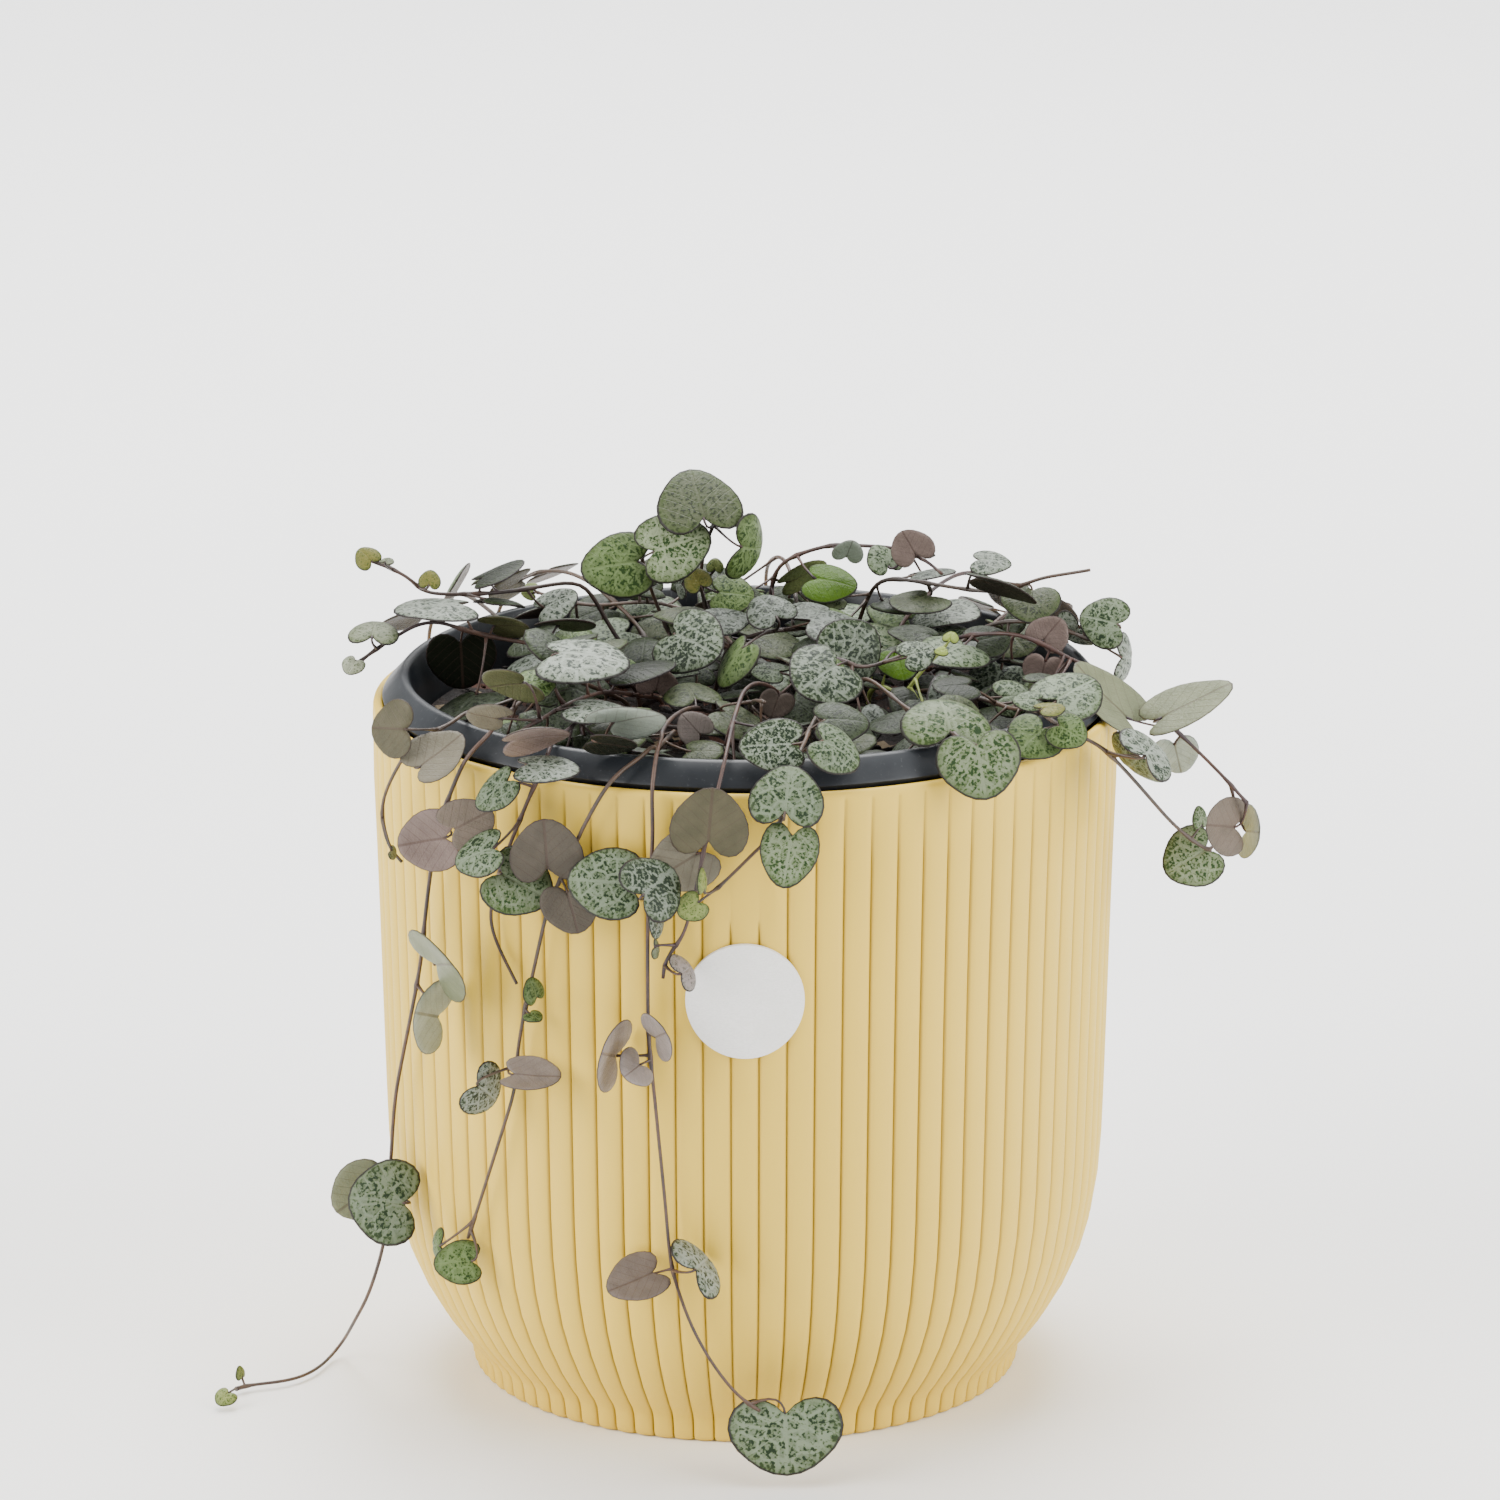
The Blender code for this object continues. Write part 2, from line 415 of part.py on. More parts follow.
def build_cover_pot():
    """The ribbed shell with a flat underside and a plain inside."""
    bm = bmesh.new()
    steps = RIB_COUNT * 2
    height, radius = COVER_OUTSIDE[0]
    loop = ring_of(bm, steps, radius * MM, height * MM)
    bmesh.ops.contextual_create(bm, geom=ring_edges(loop))
    outside = [loop]
    for height, radius in COVER_OUTSIDE[1:]:
        loop = raise_ring(bm, loop, radius * MM, height * MM)
        outside.append(loop)
    for loop in outside[:-1]:
        for vert in loop:
            if is_groove(vert, steps):
                shrink = 1.0 - GROOVE_DEPTH / vert.co.xy.length
                vert.co.x *= shrink
                vert.co.y *= shrink
    height, radius = COVER_INSIDE[0]
    # Two loops in one plane are easily bridged askew, so the inner one is lifted to its place afterwards
    inner = ring_of(bm, INSIDE_SEGMENTS, radius * MM, height * MM - BRIDGE_DROP)
    bmesh.ops.bridge_loops(bm, edges=ring_edges(outside[-1]) + ring_edges(inner))
    for vert in inner:
        vert.co.z = height * MM
    for height, radius in COVER_INSIDE[1:]:
        inner = raise_ring(bm, inner, radius * MM, height * MM)
    bmesh.ops.contextual_create(bm, geom=ring_edges(inner))
    bmesh.ops.recalc_face_normals(bm, faces=bm.faces)
    return add_object("cover_pot", bm, "cover_pot", 20.0)


def turned(profile, segments):
    """A bmesh turned from a closed run of radius and height points on both ends at the axis."""
    bm = bmesh.new()
    verts = [bm.verts.new((radius * MM, 0.0, height * MM)) for radius, height in profile]
    edges = [bm.edges.new(pair) for pair in zip(verts, verts[1:])]
    bmesh.ops.spin(bm, geom=verts + edges, cent=(0, 0, 0), axis=(0, 0, 1), dvec=(0, 0, 0),
                   angle=2 * math.pi, steps=segments, use_merge=True, use_duplicate=False)
    bmesh.ops.remove_doubles(bm, verts=bm.verts, dist=0.00001)
    bmesh.ops.recalc_face_normals(bm, faces=bm.faces)
    return bm


def drill(name, x, y, low, high, radius, sides):
    """A round cutter that stands upright."""
    bm = bmesh.new()
    middle = Matrix.Translation((x, y, (low + high) / 2))
    bmesh.ops.create_cone(bm, cap_ends=True, segments=sides, radius1=radius, radius2=radius,
                          depth=high - low, matrix=middle)
    return add_object(name, bm, "soil")


def build_nursery_pot():
    """The grower's pot with its sloping collar and drain holes."""
    pot = add_object("nursery_pot", turned(GROWER_PROFILE, GROWER_SEGMENTS), "nursery_pot")
    cutters = []
    for index in range(DRAIN_COUNT):
        angle = 2 * math.pi * index / DRAIN_COUNT
        x = DRAIN_RING * math.cos(angle)
        y = DRAIN_RING * math.sin(angle)
        cutters.append(drill("drain_cutter", x, y, 0.012, 0.0185, DRAIN_RADIUS, 8))
    cut_with(pot, cutters)
    return pot


def soil_height(x, y):
    """The lumpy top of the soil."""
    wave = math.sin(x * 330 + 1.3) * math.cos(y * 290 - 0.7) + 0.6 * math.sin(x * 610 - y * 540)
    return SOIL_LEVEL + SOIL_LUMP * 0.6 * wave


def build_soil(roots):
    """The soil plug with a plain hole round each stem."""
    wall = SOIL_RADIUS
    profile = [(0.0, SOIL_LEVEL / MM)]
    for share in (0.25, 0.5, 0.75, 1.0):
        profile.append((wall / MM * share, SOIL_LEVEL / MM))
    profile += [(SOIL_FOOT / MM, SOIL_BOTTOM / MM), (0.0, SOIL_BOTTOM / MM)]
    bm = turned(profile, SOIL_SEGMENTS)
    for vert in bm.verts:
        if vert.co.z > SOIL_LEVEL - 1 * MM and vert.co.xy.length < wall * 0.9:
            vert.co.z = soil_height(vert.co.x, vert.co.y)
    bmesh.ops.triangulate(bm, faces=[face for face in bm.faces if face.calc_center_median().z > 0.12])
    soil = add_object("soil", bm, "soil")
    cutters = []
    for root in roots:
        low = root.z - ROOT_DEPTH
        cutters.append(drill("root_cutter", root.x, root.y, low, root.z + 8 * MM, HOLE_RADIUS, 4))
    cut_with(soil, cutters)
    return soil


def build_label():
    """A plain round label bent round the front of the cover pot."""
    bm = bmesh.new()
    bmesh.ops.create_circle(bm, segments=LABEL_SIDES, radius=LABEL_RADIUS, cap_ends=True)
    bmesh.ops.poke(bm, faces=list(bm.faces))
    made = bmesh.ops.extrude_face_region(bm, geom=list(bm.faces))
    front = [item for item in made["geom"] if isinstance(item, bmesh.types.BMVert)]
    bmesh.ops.translate(bm, verts=front, vec=(0, 0, LABEL_THICKNESS))
    for vert in bm.verts:
        height = LABEL_HEIGHT + vert.co.y
        radius = profile_radius(COVER_OUTSIDE, height) + GAP + 0.1 * MM + vert.co.z
        angle = vert.co.x / RIM_RADIUS
        vert.co = Vector((radius * math.sin(angle), -radius * math.cos(angle), height))
    bmesh.ops.recalc_face_normals(bm, faces=bm.faces)
    return add_object("label", bm, "label")


def sight(px, py):
    """The direction from the eye through a place in the front view."""
    sheet = VIEW_POINT + RIGHT * (px - VIEW_CENTRE_X) * VIEW_SCALE + SKYWARD * (VIEW_CENTRE_Y - py) * VIEW_SCALE
    return (sheet - EYE).normalized()


def seen_back(px, py, back):
    """The point on a line of sight that lies a distance behind the axis."""
    ray = sight(px, py)
    return EYE + ray * ((back * MM - EYE.y) / ray.y)


def seen_round(px, py, radius):
    """The nearer point on a line of sight at a distance from the axis."""
    ray = sight(px, py)
    square = ray.x ** 2 + ray.y ** 2
    half = EYE.x * ray.x + EYE.y * ray.y
    rest = EYE.x ** 2 + EYE.y ** 2 - (radius * MM) ** 2
    root = math.sqrt(max(half ** 2 - square * rest, 0.0))
    return EYE + ray * ((-half - root) / square)


def seen_level(px, py, height):
    """The point on a line of sight at a height over the floor."""
    ray = sight(px, py)
    return EYE + ray * ((height * MM - EYE.z) / ray.z)


def route_of(vine):
    """The points of a stem from its root outwards."""
    points = [seen_back(*place) for place in vine.over]
    points += [seen_round(*place) for place in vine.down]
    points += [seen_level(*place) for place in vine.along]
    return points


def smooth_path(points):
    """Points a short step apart on a smooth curve through the given ones."""
    ends = [points[0] * 2 - points[1]] + points + [points[-1] * 2 - points[-2]]
    fine = []
    for before, start, stop, after in zip(ends, ends[1:], ends[2:], ends[3:]):
        count = max(2, round((stop - start).length / FINE_STEP))
        for index in range(count):
            t = index / count
            bend = (stop - before) * t + (before * 2 - start * 5 + stop * 4 - after) * t ** 2
            bend += (start * 3 - before - stop * 3 + after) * t ** 3
            fine.append(start + bend * 0.5)
    return fine + [points[-1]]


def straighten(path, slack):
    """Leave out the points that a stem's run can do without."""
    if len(path) < 3:
        return path
    run = path[-1] - path[0]
    off = []
    for point in path[1:-1]:
        share = min(max((point - path[0]).dot(run) / run.length_squared, 0.0), 1.0)
        off.append((point - path[0] - run * share).length)
    worst = max(range(len(off)), key=off.__getitem__)
    if off[worst] < slack:
        return [path[0], path[-1]]
    return straighten(path[:worst + 2], slack)[:-1] + straighten(path[worst + 1:], slack)


def off_the_pots(point, radius):
    """Move a stem's point clear of the soil, the collar, the rim and the pot's wall."""
    reach = point.xy.length
    level = max(point.z, radius + 0.4 * MM)
    if reach < OVER_POTS[-1][0] * MM and level > 118 * MM:
        ground = profile_radius(OVER_POTS, reach) + radius
        return Vector((point.x, point.y, max(level, ground)))
    need = profile_radius(COVER_OUTSIDE, min(level, 129 * MM)) + radius + 0.8 * MM
    if reach < need and level < RIM_HEIGHT + 2 * radius:
        return Vector((point.x * need / reach, point.y * need / reach, level))
    return Vector((point.x, point.y, level))


def nearest_on(path, point):
    """The point of a stem's run nearest to a given one."""
    best = None
    for a, b in zip(path, path[1:]):
        run = b - a
        share = min(max((point - a).dot(run) / run.length_squared, 0.0), 1.0)
        spot = a + run * share
        if best is None or (spot - point).length < (best - point).length:
            best = spot
    return best


def passes_near(path, other):
    """Whether two stems' boxes come near each other."""
    for axis in range(3):
        if min(point[axis] for point in path) > max(point[axis] for point in other) + REACH:
            return False
        if max(point[axis] for point in path) < min(point[axis] for point in other) - REACH:
            return False
    return True


def settle(path, others):
    """Bend a stem clear of the pots and of the stems that are already there."""
    path = [path[0]] + [off_the_pots(point, STEM_RADIUS) for point in path[1:]]
    for _ in range(SETTLE_ROUNDS):
        for index in range(1, len(path)):
            for other in others:
                spot = nearest_on(other, path[index])
                gap = path[index] - spot
                if gap.length < STEM_CLEARANCE:
                    away = gap.normalized() if gap.length > 0.1 * MM else Vector((0, 0, 1))
                    path[index] = path[index] + away * (STEM_CLEARANCE - gap.length)
            path[index] = off_the_pots(path[index], STEM_RADIUS)
    return path


def stem_frames(path):
    """A frame at each point of a stem, turned as little as possible from one to the next."""
    frames = []
    side = Vector((1, 0, 0))
    for index, point in enumerate(path):
        ahead = path[min(index + 1, len(path) - 1)] - path[max(index - 1, 0)]
        ahead.normalize()
        side = side - ahead * side.dot(ahead)
        if side.length < 0.05:
            side = ahead.orthogonal()
        side.normalize()
        across = ahead.cross(side)
        frame = Matrix((side, across, ahead)).transposed().to_4x4()
        frames.append(Matrix.Translation(point) @ frame)
    return frames


def stem_mesh(path):
    """A four-sided stem that thins towards its tail."""
    bm = bmesh.new()
    frames = stem_frames(path)
    bmesh.ops.create_circle(bm, segments=4, radius=1.0, cap_ends=True)
    face = bm.faces[:][0]
    corners = [vert.co.copy() for vert in face.verts]
    last = len(frames) - 1
    for index, frame in enumerate(frames):
        width = STEM_RADIUS + (TAIL_RADIUS - STEM_RADIUS) * index / last
        if index:
            face = bmesh.ops.extrude_discrete_faces(bm, faces=[face])["faces"][0]
        for vert, corner in zip(face.verts, corners):
            vert.co = frame @ (corner * width)
    close_ends(bm)
    return bm


def close_ends(bm):
    """Close a tube's open end, split its sides into triangles and turn them outwards."""
    rim = [edge for edge in bm.edges if edge.is_boundary]
    if rim:
        bmesh.ops.contextual_create(bm, geom=rim)
    bmesh.ops.triangulate(bm, faces=bm.faces)
    bmesh.ops.recalc_face_normals(bm, faces=bm.faces)


def blade_height(x, y, width):
    """How far the blade droops at a place, lowest at its lobes, sides and tip."""
    return -(0.30 * x * x + 0.22 * (y - 0.20 * width) ** 2) / width


def heart_edge(width, long, swell, half):
    """The outline of a heart from the right of its notch round to the left of it."""
    edge = [Vector((across * width, ahead * width * long, 0)) for across, ahead in half]
    edge.append(Vector((0, HEART_TIP * width * long, 0)))
    edge += [Vector((-across * width, ahead * width * long, 0)) for across, ahead in reversed(half)]
    middle = Vector((0, HEART_MIDDLE * width * long, 0))
    return [point + (point - middle).normalized() * swell for point in edge]


def heart_blade(width, long, swell, half=HALF_HEART):
    """A closed heart with its notch at the origin, its tip along +Y and its upper face along +Z."""
    bm = bmesh.new()
    edge = heart_edge(width, long, swell, half)
    bmesh.ops.create_circle(bm, segments=len(edge), radius=1.0, cap_ends=True)
    face = bm.faces[:][0]
    for vert, place in zip(list(face.verts), edge):
        vert.co = place
    poked = bmesh.ops.poke(bm, faces=[face])
    poked["verts"][0].co = Vector((0, HEART_MIDDLE * width * long, 0))
    half = (BLADE_THICKNESS + BLADE_GAIN * width) / 2 + swell
    made = bmesh.ops.extrude_face_region(bm, geom=list(bm.faces))
    raised = {item for item in made["geom"] if isinstance(item, bmesh.types.BMVert)}
    for vert in bm.verts:
        drop = blade_height(vert.co.x, vert.co.y, width)
        vert.co.z = drop + (half if vert in raised else -half)
    bmesh.ops.recalc_face_normals(bm, faces=bm.faces)
    return bm


def notch_point(width):
    """Where a stalk meets its blade."""
    return Vector((0, 0, blade_height(0.0, 0.0, width)))


def leaves_freely(run):
    """Whether a stalk in a direction goes straight out between the lobes of its own blade."""
    return run.y < -0.45 * abs(run.x) - 0.05 or (abs(run.z) > 0.8 and run.y < 0)


def stalk_points(width, root):
    """The run of a stalk: straight to its root, or first out between the lobes where they are in the way."""
    start = notch_point(width)
    if leaves_freely((root - start).normalized()):
        return [start, root]
    return [start, start - Vector((0, bend_length(width), 0)), root]


def bend_length(width):
    """How far a bent stalk runs out between the lobes."""
    return 0.15 * width + 0.5 * MM


def stalk_rings(width, root, half):
    """The sections of a stalk after its notch, each as corners named by side: right or left, up or down."""
    points = stalk_points(width, root)
    heading = Vector((0, -1, 0))
    side, upper = Vector((1, 0, 0)), Vector((0, 0, 1))
    rings = []
    for start, spot, onward in zip(points, points[1:], points[2:] + points[-1:]):
        ahead = (spot - start).normalized() + (onward - spot).normalized()
        if ahead.length < 0.2:
            ahead = Vector((0, 0, -1))
        turn = heading.rotation_difference(ahead.normalized())
        heading, side, upper = turn @ heading, turn @ side, turn @ upper
        rings.append({(right, up): spot + (side * right + upper * up) * half
                      for right in (-1, 1) for up in (-1, 1)})
    return rings


def corner_signs(face):
    """Which corner of a stalk's section each vertex of a face becomes."""
    middle = face.calc_center_median()
    return [(1 if vert.co.x > middle.x else -1, 1 if vert.co.z > middle.z else -1) for vert in face.verts]


def grow_stalk(bm, face, signs, rings):
    """Extrude a stalk from a face through its sections."""
    for ring in rings:
        face = bmesh.ops.extrude_discrete_faces(bm, faces=[face])["faces"][0]
        for vert, sign in zip(face.verts, signs):
            vert.co = ring[sign]
    close_ends(bm)
    return bm


def leaf_mesh(width, long, root, plain):
    """A heart whose stalk runs from its notch to a root given in the leaf's own frame."""
    bm = heart_blade(width, long, 0.0, PLAIN_HALF if plain else HALF_HEART)
    notch = [face for face in bm.faces if len(face.verts) == 4
             and all(abs(vert.co.x) < 0.1 * width and vert.co.y < 0.1 * width for vert in face.verts)]
    return grow_stalk(bm, notch[0], corner_signs(notch[0]), stalk_rings(width, root, STALK_HALF * 0.92))


def stalk_mesh(width, root, swell):
    """A stalk by itself, swollen to test whether it has room."""
    bm = bmesh.new()
    half = STALK_HALF + swell
    start = {(right, up): notch_point(width) + Vector((right, 0, up)) * half for right in (-1, 1) for up in (-1, 1)}
    bmesh.ops.create_circle(bm, segments=4, radius=1.0, cap_ends=True)
    face = bm.faces[:][0]
    signs = [(-1, -1), (1, -1), (1, 1), (-1, 1)]
    for vert, sign in zip(face.verts, signs):
        vert.co = start[sign]
    return grow_stalk(bm, face, signs, stalk_rings(width, root, half))


def sound_stalk(width, root):
    """Whether a stalk is long enough and doesn't double back."""
    points = stalk_points(width, root)
    run = points[-1] - points[-2]
    if run.length < LEAST_STALK:
        return False
    return len(points) == 2 or run.normalized().y < MOST_RETURN


def crosses_itself(bm):
    """Whether two faces of a piece that share no corner meet."""
    tree = BVHTree.FromBMesh(bm)
    bm.faces.ensure_lookup_table()
    corners = [set(face.verts) for face in bm.faces]
    return any(one < other and not corners[one] & corners[other] for one, other in tree.overlap(tree))


def drawn_at(point):
    """The place of a point in the front view, as px and py."""
    share = VIEW_DISTANCE / (EYE - point).dot(TOWARDS)
    sheet = EYE + (point - EYE) * share - VIEW_POINT
    return Vector((VIEW_CENTRE_X + sheet.dot(RIGHT) / VIEW_SCALE,
                   VIEW_CENTRE_Y - sheet.dot(SKYWARD) / VIEW_SCALE))


def nearest_drawn(path, point):
    """The point of a stem that the front view shows nearest to a given one."""
    place = drawn_at(point)
    return min(path, key=lambda other: (drawn_at(other) - place).length)


def clock(angle):
    """The direction in the front view that a clock angle in degrees points to."""
    return RIGHT * math.sin(math.radians(angle)) + SKYWARD * math.cos(math.radians(angle))


def leaf_turn(heart):
    """The rotation of a leaf as the front view shows it."""
    lean = math.radians(heart.lean)
    facing = TOWARDS * math.cos(lean) + clock(heart.turn) * math.sin(lean)
    depth = facing.dot(TOWARDS)
    if abs(depth) < LEAST_FACING:
        depth = math.copysign(LEAST_FACING, depth)
    along = clock(heart.tip) - TOWARDS * (facing.dot(clock(heart.tip)) / depth)
    along.normalize()
    facing = (facing - along * facing.dot(along)).normalized()
    return Matrix((along.cross(facing), along, facing)).transposed()


def leaf_place(heart, path):
    """The frame of a leaf at its notch."""
    turn = leaf_turn(heart)
    back = turn @ Vector((0, HEART_MIDDLE * heart.width * MM * heart.long, 0))
    guess = nearest_drawn(path, seen_back(heart.px, heart.py, 0))
    for _ in range(2):
        middle = seen_back(heart.px, heart.py, guess.y / MM - heart.near)
        notch = middle - back
        guess = nearest_drawn(path, notch)
    return Matrix.Translation(notch) @ turn.to_4x4()


def prominence(wish):
    """How much of the front view a leaf takes."""
    heart = wish[0]
    return heart.width * heart.long * abs(math.cos(math.radians(heart.lean)))


class Crowd:
    """What already stands in the pot, to ask whether a new piece has room."""

    def __init__(self):
        self.items = []

    def add(self, bm, kind, owner):
        """Remember a piece and free its bmesh."""
        self.items.append((BVHTree.FromBMesh(bm), span(bm), kind, owner))
        bm.free()

    def hit(self, bm, allowed):
        """Whether a piece touches any other that it isn't allowed to touch."""
        low, high = span(bm)
        if low.z < GAP:
            return True
        tree = None
        for other, (bottom, top), kind, owner in self.items:
            if (kind, owner) in allowed:
                continue
            if any(low[axis] > top[axis] or high[axis] < bottom[axis] for axis in range(3)):
                continue
            tree = tree or BVHTree.FromBMesh(bm)
            if tree.overlap(other):
                return True
        return False

    def first_seen(self, eye, ray):
        """The kind of the first thing on a line of sight."""
        seen = [(tree.ray_cast(eye, ray)[3], kind) for tree, box, kind, owner in self.items]
        seen = [pair for pair in seen if pair[0] is not None]
        return min(seen)[1] if seen else "nothing"


def span(bm):
    """The lowest and the highest corner of a bmesh."""
    places = [vert.co for vert in bm.verts]
    low = Vector([min(place[axis] for place in places) for axis in range(3)])
    high = Vector([max(place[axis] for place in places) for axis in range(3)])
    return low, high


def has_room(crowd, frame, width, long, root, owner, strict, plain):
    """Whether a leaf and its stalk are clear of everything at a frame."""
    own_root = frame.inverted() @ root
    if not sound_stalk(width, own_root):
        return False
    blade = heart_blade(width, long, BLADE_MARGIN)
    blade.transform(frame)
    own = set() if strict else {("stem", owner)}
    blocked = crowd.hit(blade, own)
    blade.free()
    if blocked:
        return False
    stalk = stalk_mesh(width, own_root, BLADE_MARGIN)
    stalk.transform(frame)
    blocked = crowd.hit(stalk, {("stem", owner), ("stalk", owner)})
    stalk.free()
    if blocked:
        return False
    leaf = leaf_mesh(width, long, own_root, plain)
    crossing = crosses_itself(leaf)
    leaf.free()
    return not crossing


def leaf_poses(shifts, turns):
    """Small moves along the line of sight and small turns, the slightest first."""
    poses = [(shift, pitch, roll) for shift in shifts for pitch, roll in turns]
    return sorted(poses, key=lambda pose: abs(pose[0]) + (abs(pose[1]) + abs(pose[2])) * TURN_COST)


def moved(frame, pose):
    """A leaf's frame shifted towards the viewer and turned about its own middle."""
    shift, pitch, roll = pose
    turn = Matrix.Rotation(math.radians(pitch), 4, "X") @ Matrix.Rotation(math.radians(roll), 4, "Y")
    return Matrix.Translation(TOWARDS * shift * MM) @ frame @ turn


def add_leaf(crowd, leaves, frame, width, long, root, owner, plain=False):
    """Keep a leaf and remember the room it takes."""
    leaves.append((frame, width, long, root, plain))
    blade = heart_blade(width, long, 0.0)
    blade.transform(frame)
    crowd.add(blade, "blade", owner)
    stalk = stalk_mesh(width, frame.inverted() @ root, 0.0)
    stalk.transform(frame)
    crowd.add(stalk, "stalk", owner)


def root_choices(path, frame, width):
    """Points of a stem that a leaf can grow from: those that a straight stalk reaches come first."""
    walked = [0.0]
    for start, stop in zip(path, path[1:]):
        walked.append(walked[-1] + (stop - start).length)
    notch = frame.translation
    count = max(1, round(walked[-1] / ROOT_STEP))
    spots = [nearest_on(path, notch)]
    spots += [point_along(path, walked[-1] * index / count)[0] for index in range(count + 1)]
    least = (spots[0] - notch).length
    inward = frame.inverted()
    near = [spot for spot in spots if (spot - notch).length < min(least + ROOT_SLACK, MOST_STALK)]
    return sorted(near, key=lambda spot: (len(stalk_points(width, inward @ spot)), (spot - notch).length))[:4]


def place_heart(crowd, leaves, heart, path, owner):
    """Place one leaf as the front view shows it, a little off or smaller where it has no room."""
    frame = leaf_place(heart, path)
    plain = prominence((heart,)) < PLAIN_BELOW
    for strict in (True, False):
        for size in HEART_SIZES:
            width = heart.width * MM * size
            for pose in leaf_poses(HEART_SHIFTS, HEART_TURNS):
                place = moved(frame, pose)
                for root in root_choices(path, place, width):
                    if has_room(crowd, place, width, heart.long, root, owner, strict, plain):
                        add_leaf(crowd, leaves, place, width, heart.long, root, owner, plain)
                        return True
    return False


def fill_stem(crowd, leaves, path, owner, draw, nodes, lowest):
    """Set pairs of leaves at even distances along the stretch of a stem that is over a height."""
    length = sum((stop - start).length for start, stop in zip(path[1:], path[2:]))
    roots = [leaf[3] for leaf in leaves]
    for node in range(1, nodes + 1):
        spot, heading = point_along(path[1:], length * node / (nodes + FILL_END))
        if spot.z < lowest or any((root - spot).length < FILL_KEEP for root in roots):
            continue
        for side in (-1, 1):
            fill_leaf(crowd, leaves, spot, heading, side, owner, draw)


def point_along(path, distance):
    """The point a distance along a stem, and the stem's heading there."""
    for start, stop in zip(path, path[1:]):
        run = (stop - start).length
        if distance <= run:
            break
        distance -= run
    return start + (stop - start) * min(distance / run, 1.0), (stop - start).normalized()


def fill_leaf(crowd, leaves, root, heading, side, owner, draw):
    """Try a few seeded ways to set one leaf at a node."""
    outward = Vector((root.x, root.y, 0.0)).normalized()
    for _ in range(FILL_TRIES):
        across = heading.cross(Vector((0, 0, 1)))
        if across.length < 0.3:
            across = heading.cross(outward)
        sway = Vector([draw.uniform(-0.45, 0.45) for _ in range(3)])
        along = (across.normalized() * side + heading * 0.3 + Vector((0, 0, 0.25)) + sway).normalized()
        sway = Vector([draw.uniform(-0.5, 0.5) for _ in range(3)])
        facing = Vector((0, 0, 0.7)) + outward * 0.7 + sway
        width = draw.uniform(FILL_SMALLEST, FILL_LARGEST)
        middle = root + along * (FILL_STALK + width * HEART_MIDDLE)
        if abs(middle.x) + width * 0.4 > FILL_SIDE or middle.z + width * 0.3 > FILL_TOP:
            continue
        if keep_leaf(crowd, leaves, root + along * FILL_STALK, along, facing, width, root, owner):
            return


def keep_leaf(crowd, leaves, notch, along, facing, width, root, owner):
    """Add a plain leaf at a notch if it has room there."""
    along = along.normalized()
    facing = (facing - along * facing.dot(along)).normalized()
    turn = Matrix((along.cross(facing), along, facing)).transposed().to_4x4()
    frame = Matrix.Translation(notch) @ turn
    if not has_room(crowd, frame, width, 1.0, root, owner, True, True):
        return False
    add_leaf(crowd, leaves, frame, width, 1.0, root, owner, True)
    return True


def sight_lines():
    """Lines of sight that should meet leaves before soil, from the front and from above."""
    left, right, top, bottom = COVER_WINDOW
    lines = []
    for row in range(int((bottom - top) / COVER_STEP) + 1):
        for column in range(int((right - left) / COVER_STEP) + 1):
            px = left + (column + row % 2 * 0.5) * COVER_STEP
            lines.append((EYE, sight(px, top + row * COVER_STEP), TOWARDS * 0.6 + SKYWARD * 0.8))
    front = len(lines)
    for row in range(-OVERHEAD_ROWS, OVERHEAD_ROWS + 1):
        for column in range(-OVERHEAD_ROWS, OVERHEAD_ROWS + 1):
            above = Vector(((column + row % 2 * 0.5) * OVERHEAD_STEP, row * OVERHEAD_STEP, 1.0))
            if above.xy.length < OVERHEAD_REACH:
                lines.append((above, Vector((0, 0, -1)), Vector((0, 0, 1))))
    return lines, front


def cover_soil(crowd, leaves, paths, draw):
    """Set low leaves wherever bare soil would show between the others."""
    lines, front = sight_lines()
    count = 0
    for index, (eye, ray, facing) in enumerate(lines):
        if index == front:
            count = 0
        if count < COVER_LIMIT and crowd.first_seen(eye, ray) == "pot":
            count += cover_leaf(crowd, leaves, paths, eye, ray, facing, draw)


def cover_leaf(crowd, leaves, paths, eye, ray, facing, draw):
    """Try to set one low leaf on a line of sight, grown from the nearest stem."""
    for width in COVER_WIDTHS:
        for lift in COVER_LIFTS:
            spot = eye + ray * ((SOIL_LEVEL + lift * MM - eye.z) / ray.z)
            if spot.xy.length > COLLAR_INNER + lift * MM:
                continue
            near = [(nearest_on(path[1:], spot), name) for name, path in paths]
            root, owner = min(near, key=lambda pair: (pair[0] - spot).length)
            upward = (facing + Vector([draw.uniform(-0.3, 0.3) for _ in range(3)])).normalized()
            along = spot - root + RIGHT * draw.uniform(-2, 2) * MM
            along = (along - upward * along.dot(upward)).normalized()
            notch = spot - along * HEART_MIDDLE * width * MM
            if (root - notch).length < MOST_STALK and keep_leaf(
                    crowd, leaves[owner], notch, along, upward, width * MM, root, owner):
                return 1
    return 0


def tidy_union(thing):
    """Keep the one body of a fused stem and drop the scraps that a union leaves."""
    bm = bmesh.new()
    bm.from_mesh(thing.data)
    left = set(bm.verts)
    bodies = []
    while left:
        body = {left.pop()}
        reach = list(body)
        while reach:
            near = {edge.other_vert(vert) for vert in reach for edge in vert.link_edges} - body
            body |= near
            reach = list(near)
        left -= body
        bodies.append(body)
    bodies.sort(key=len, reverse=True)
    for body in bodies[1:]:
        bmesh.ops.delete(bm, geom=list(body), context="VERTS")
    bm.to_mesh(thing.data)
    bm.free()


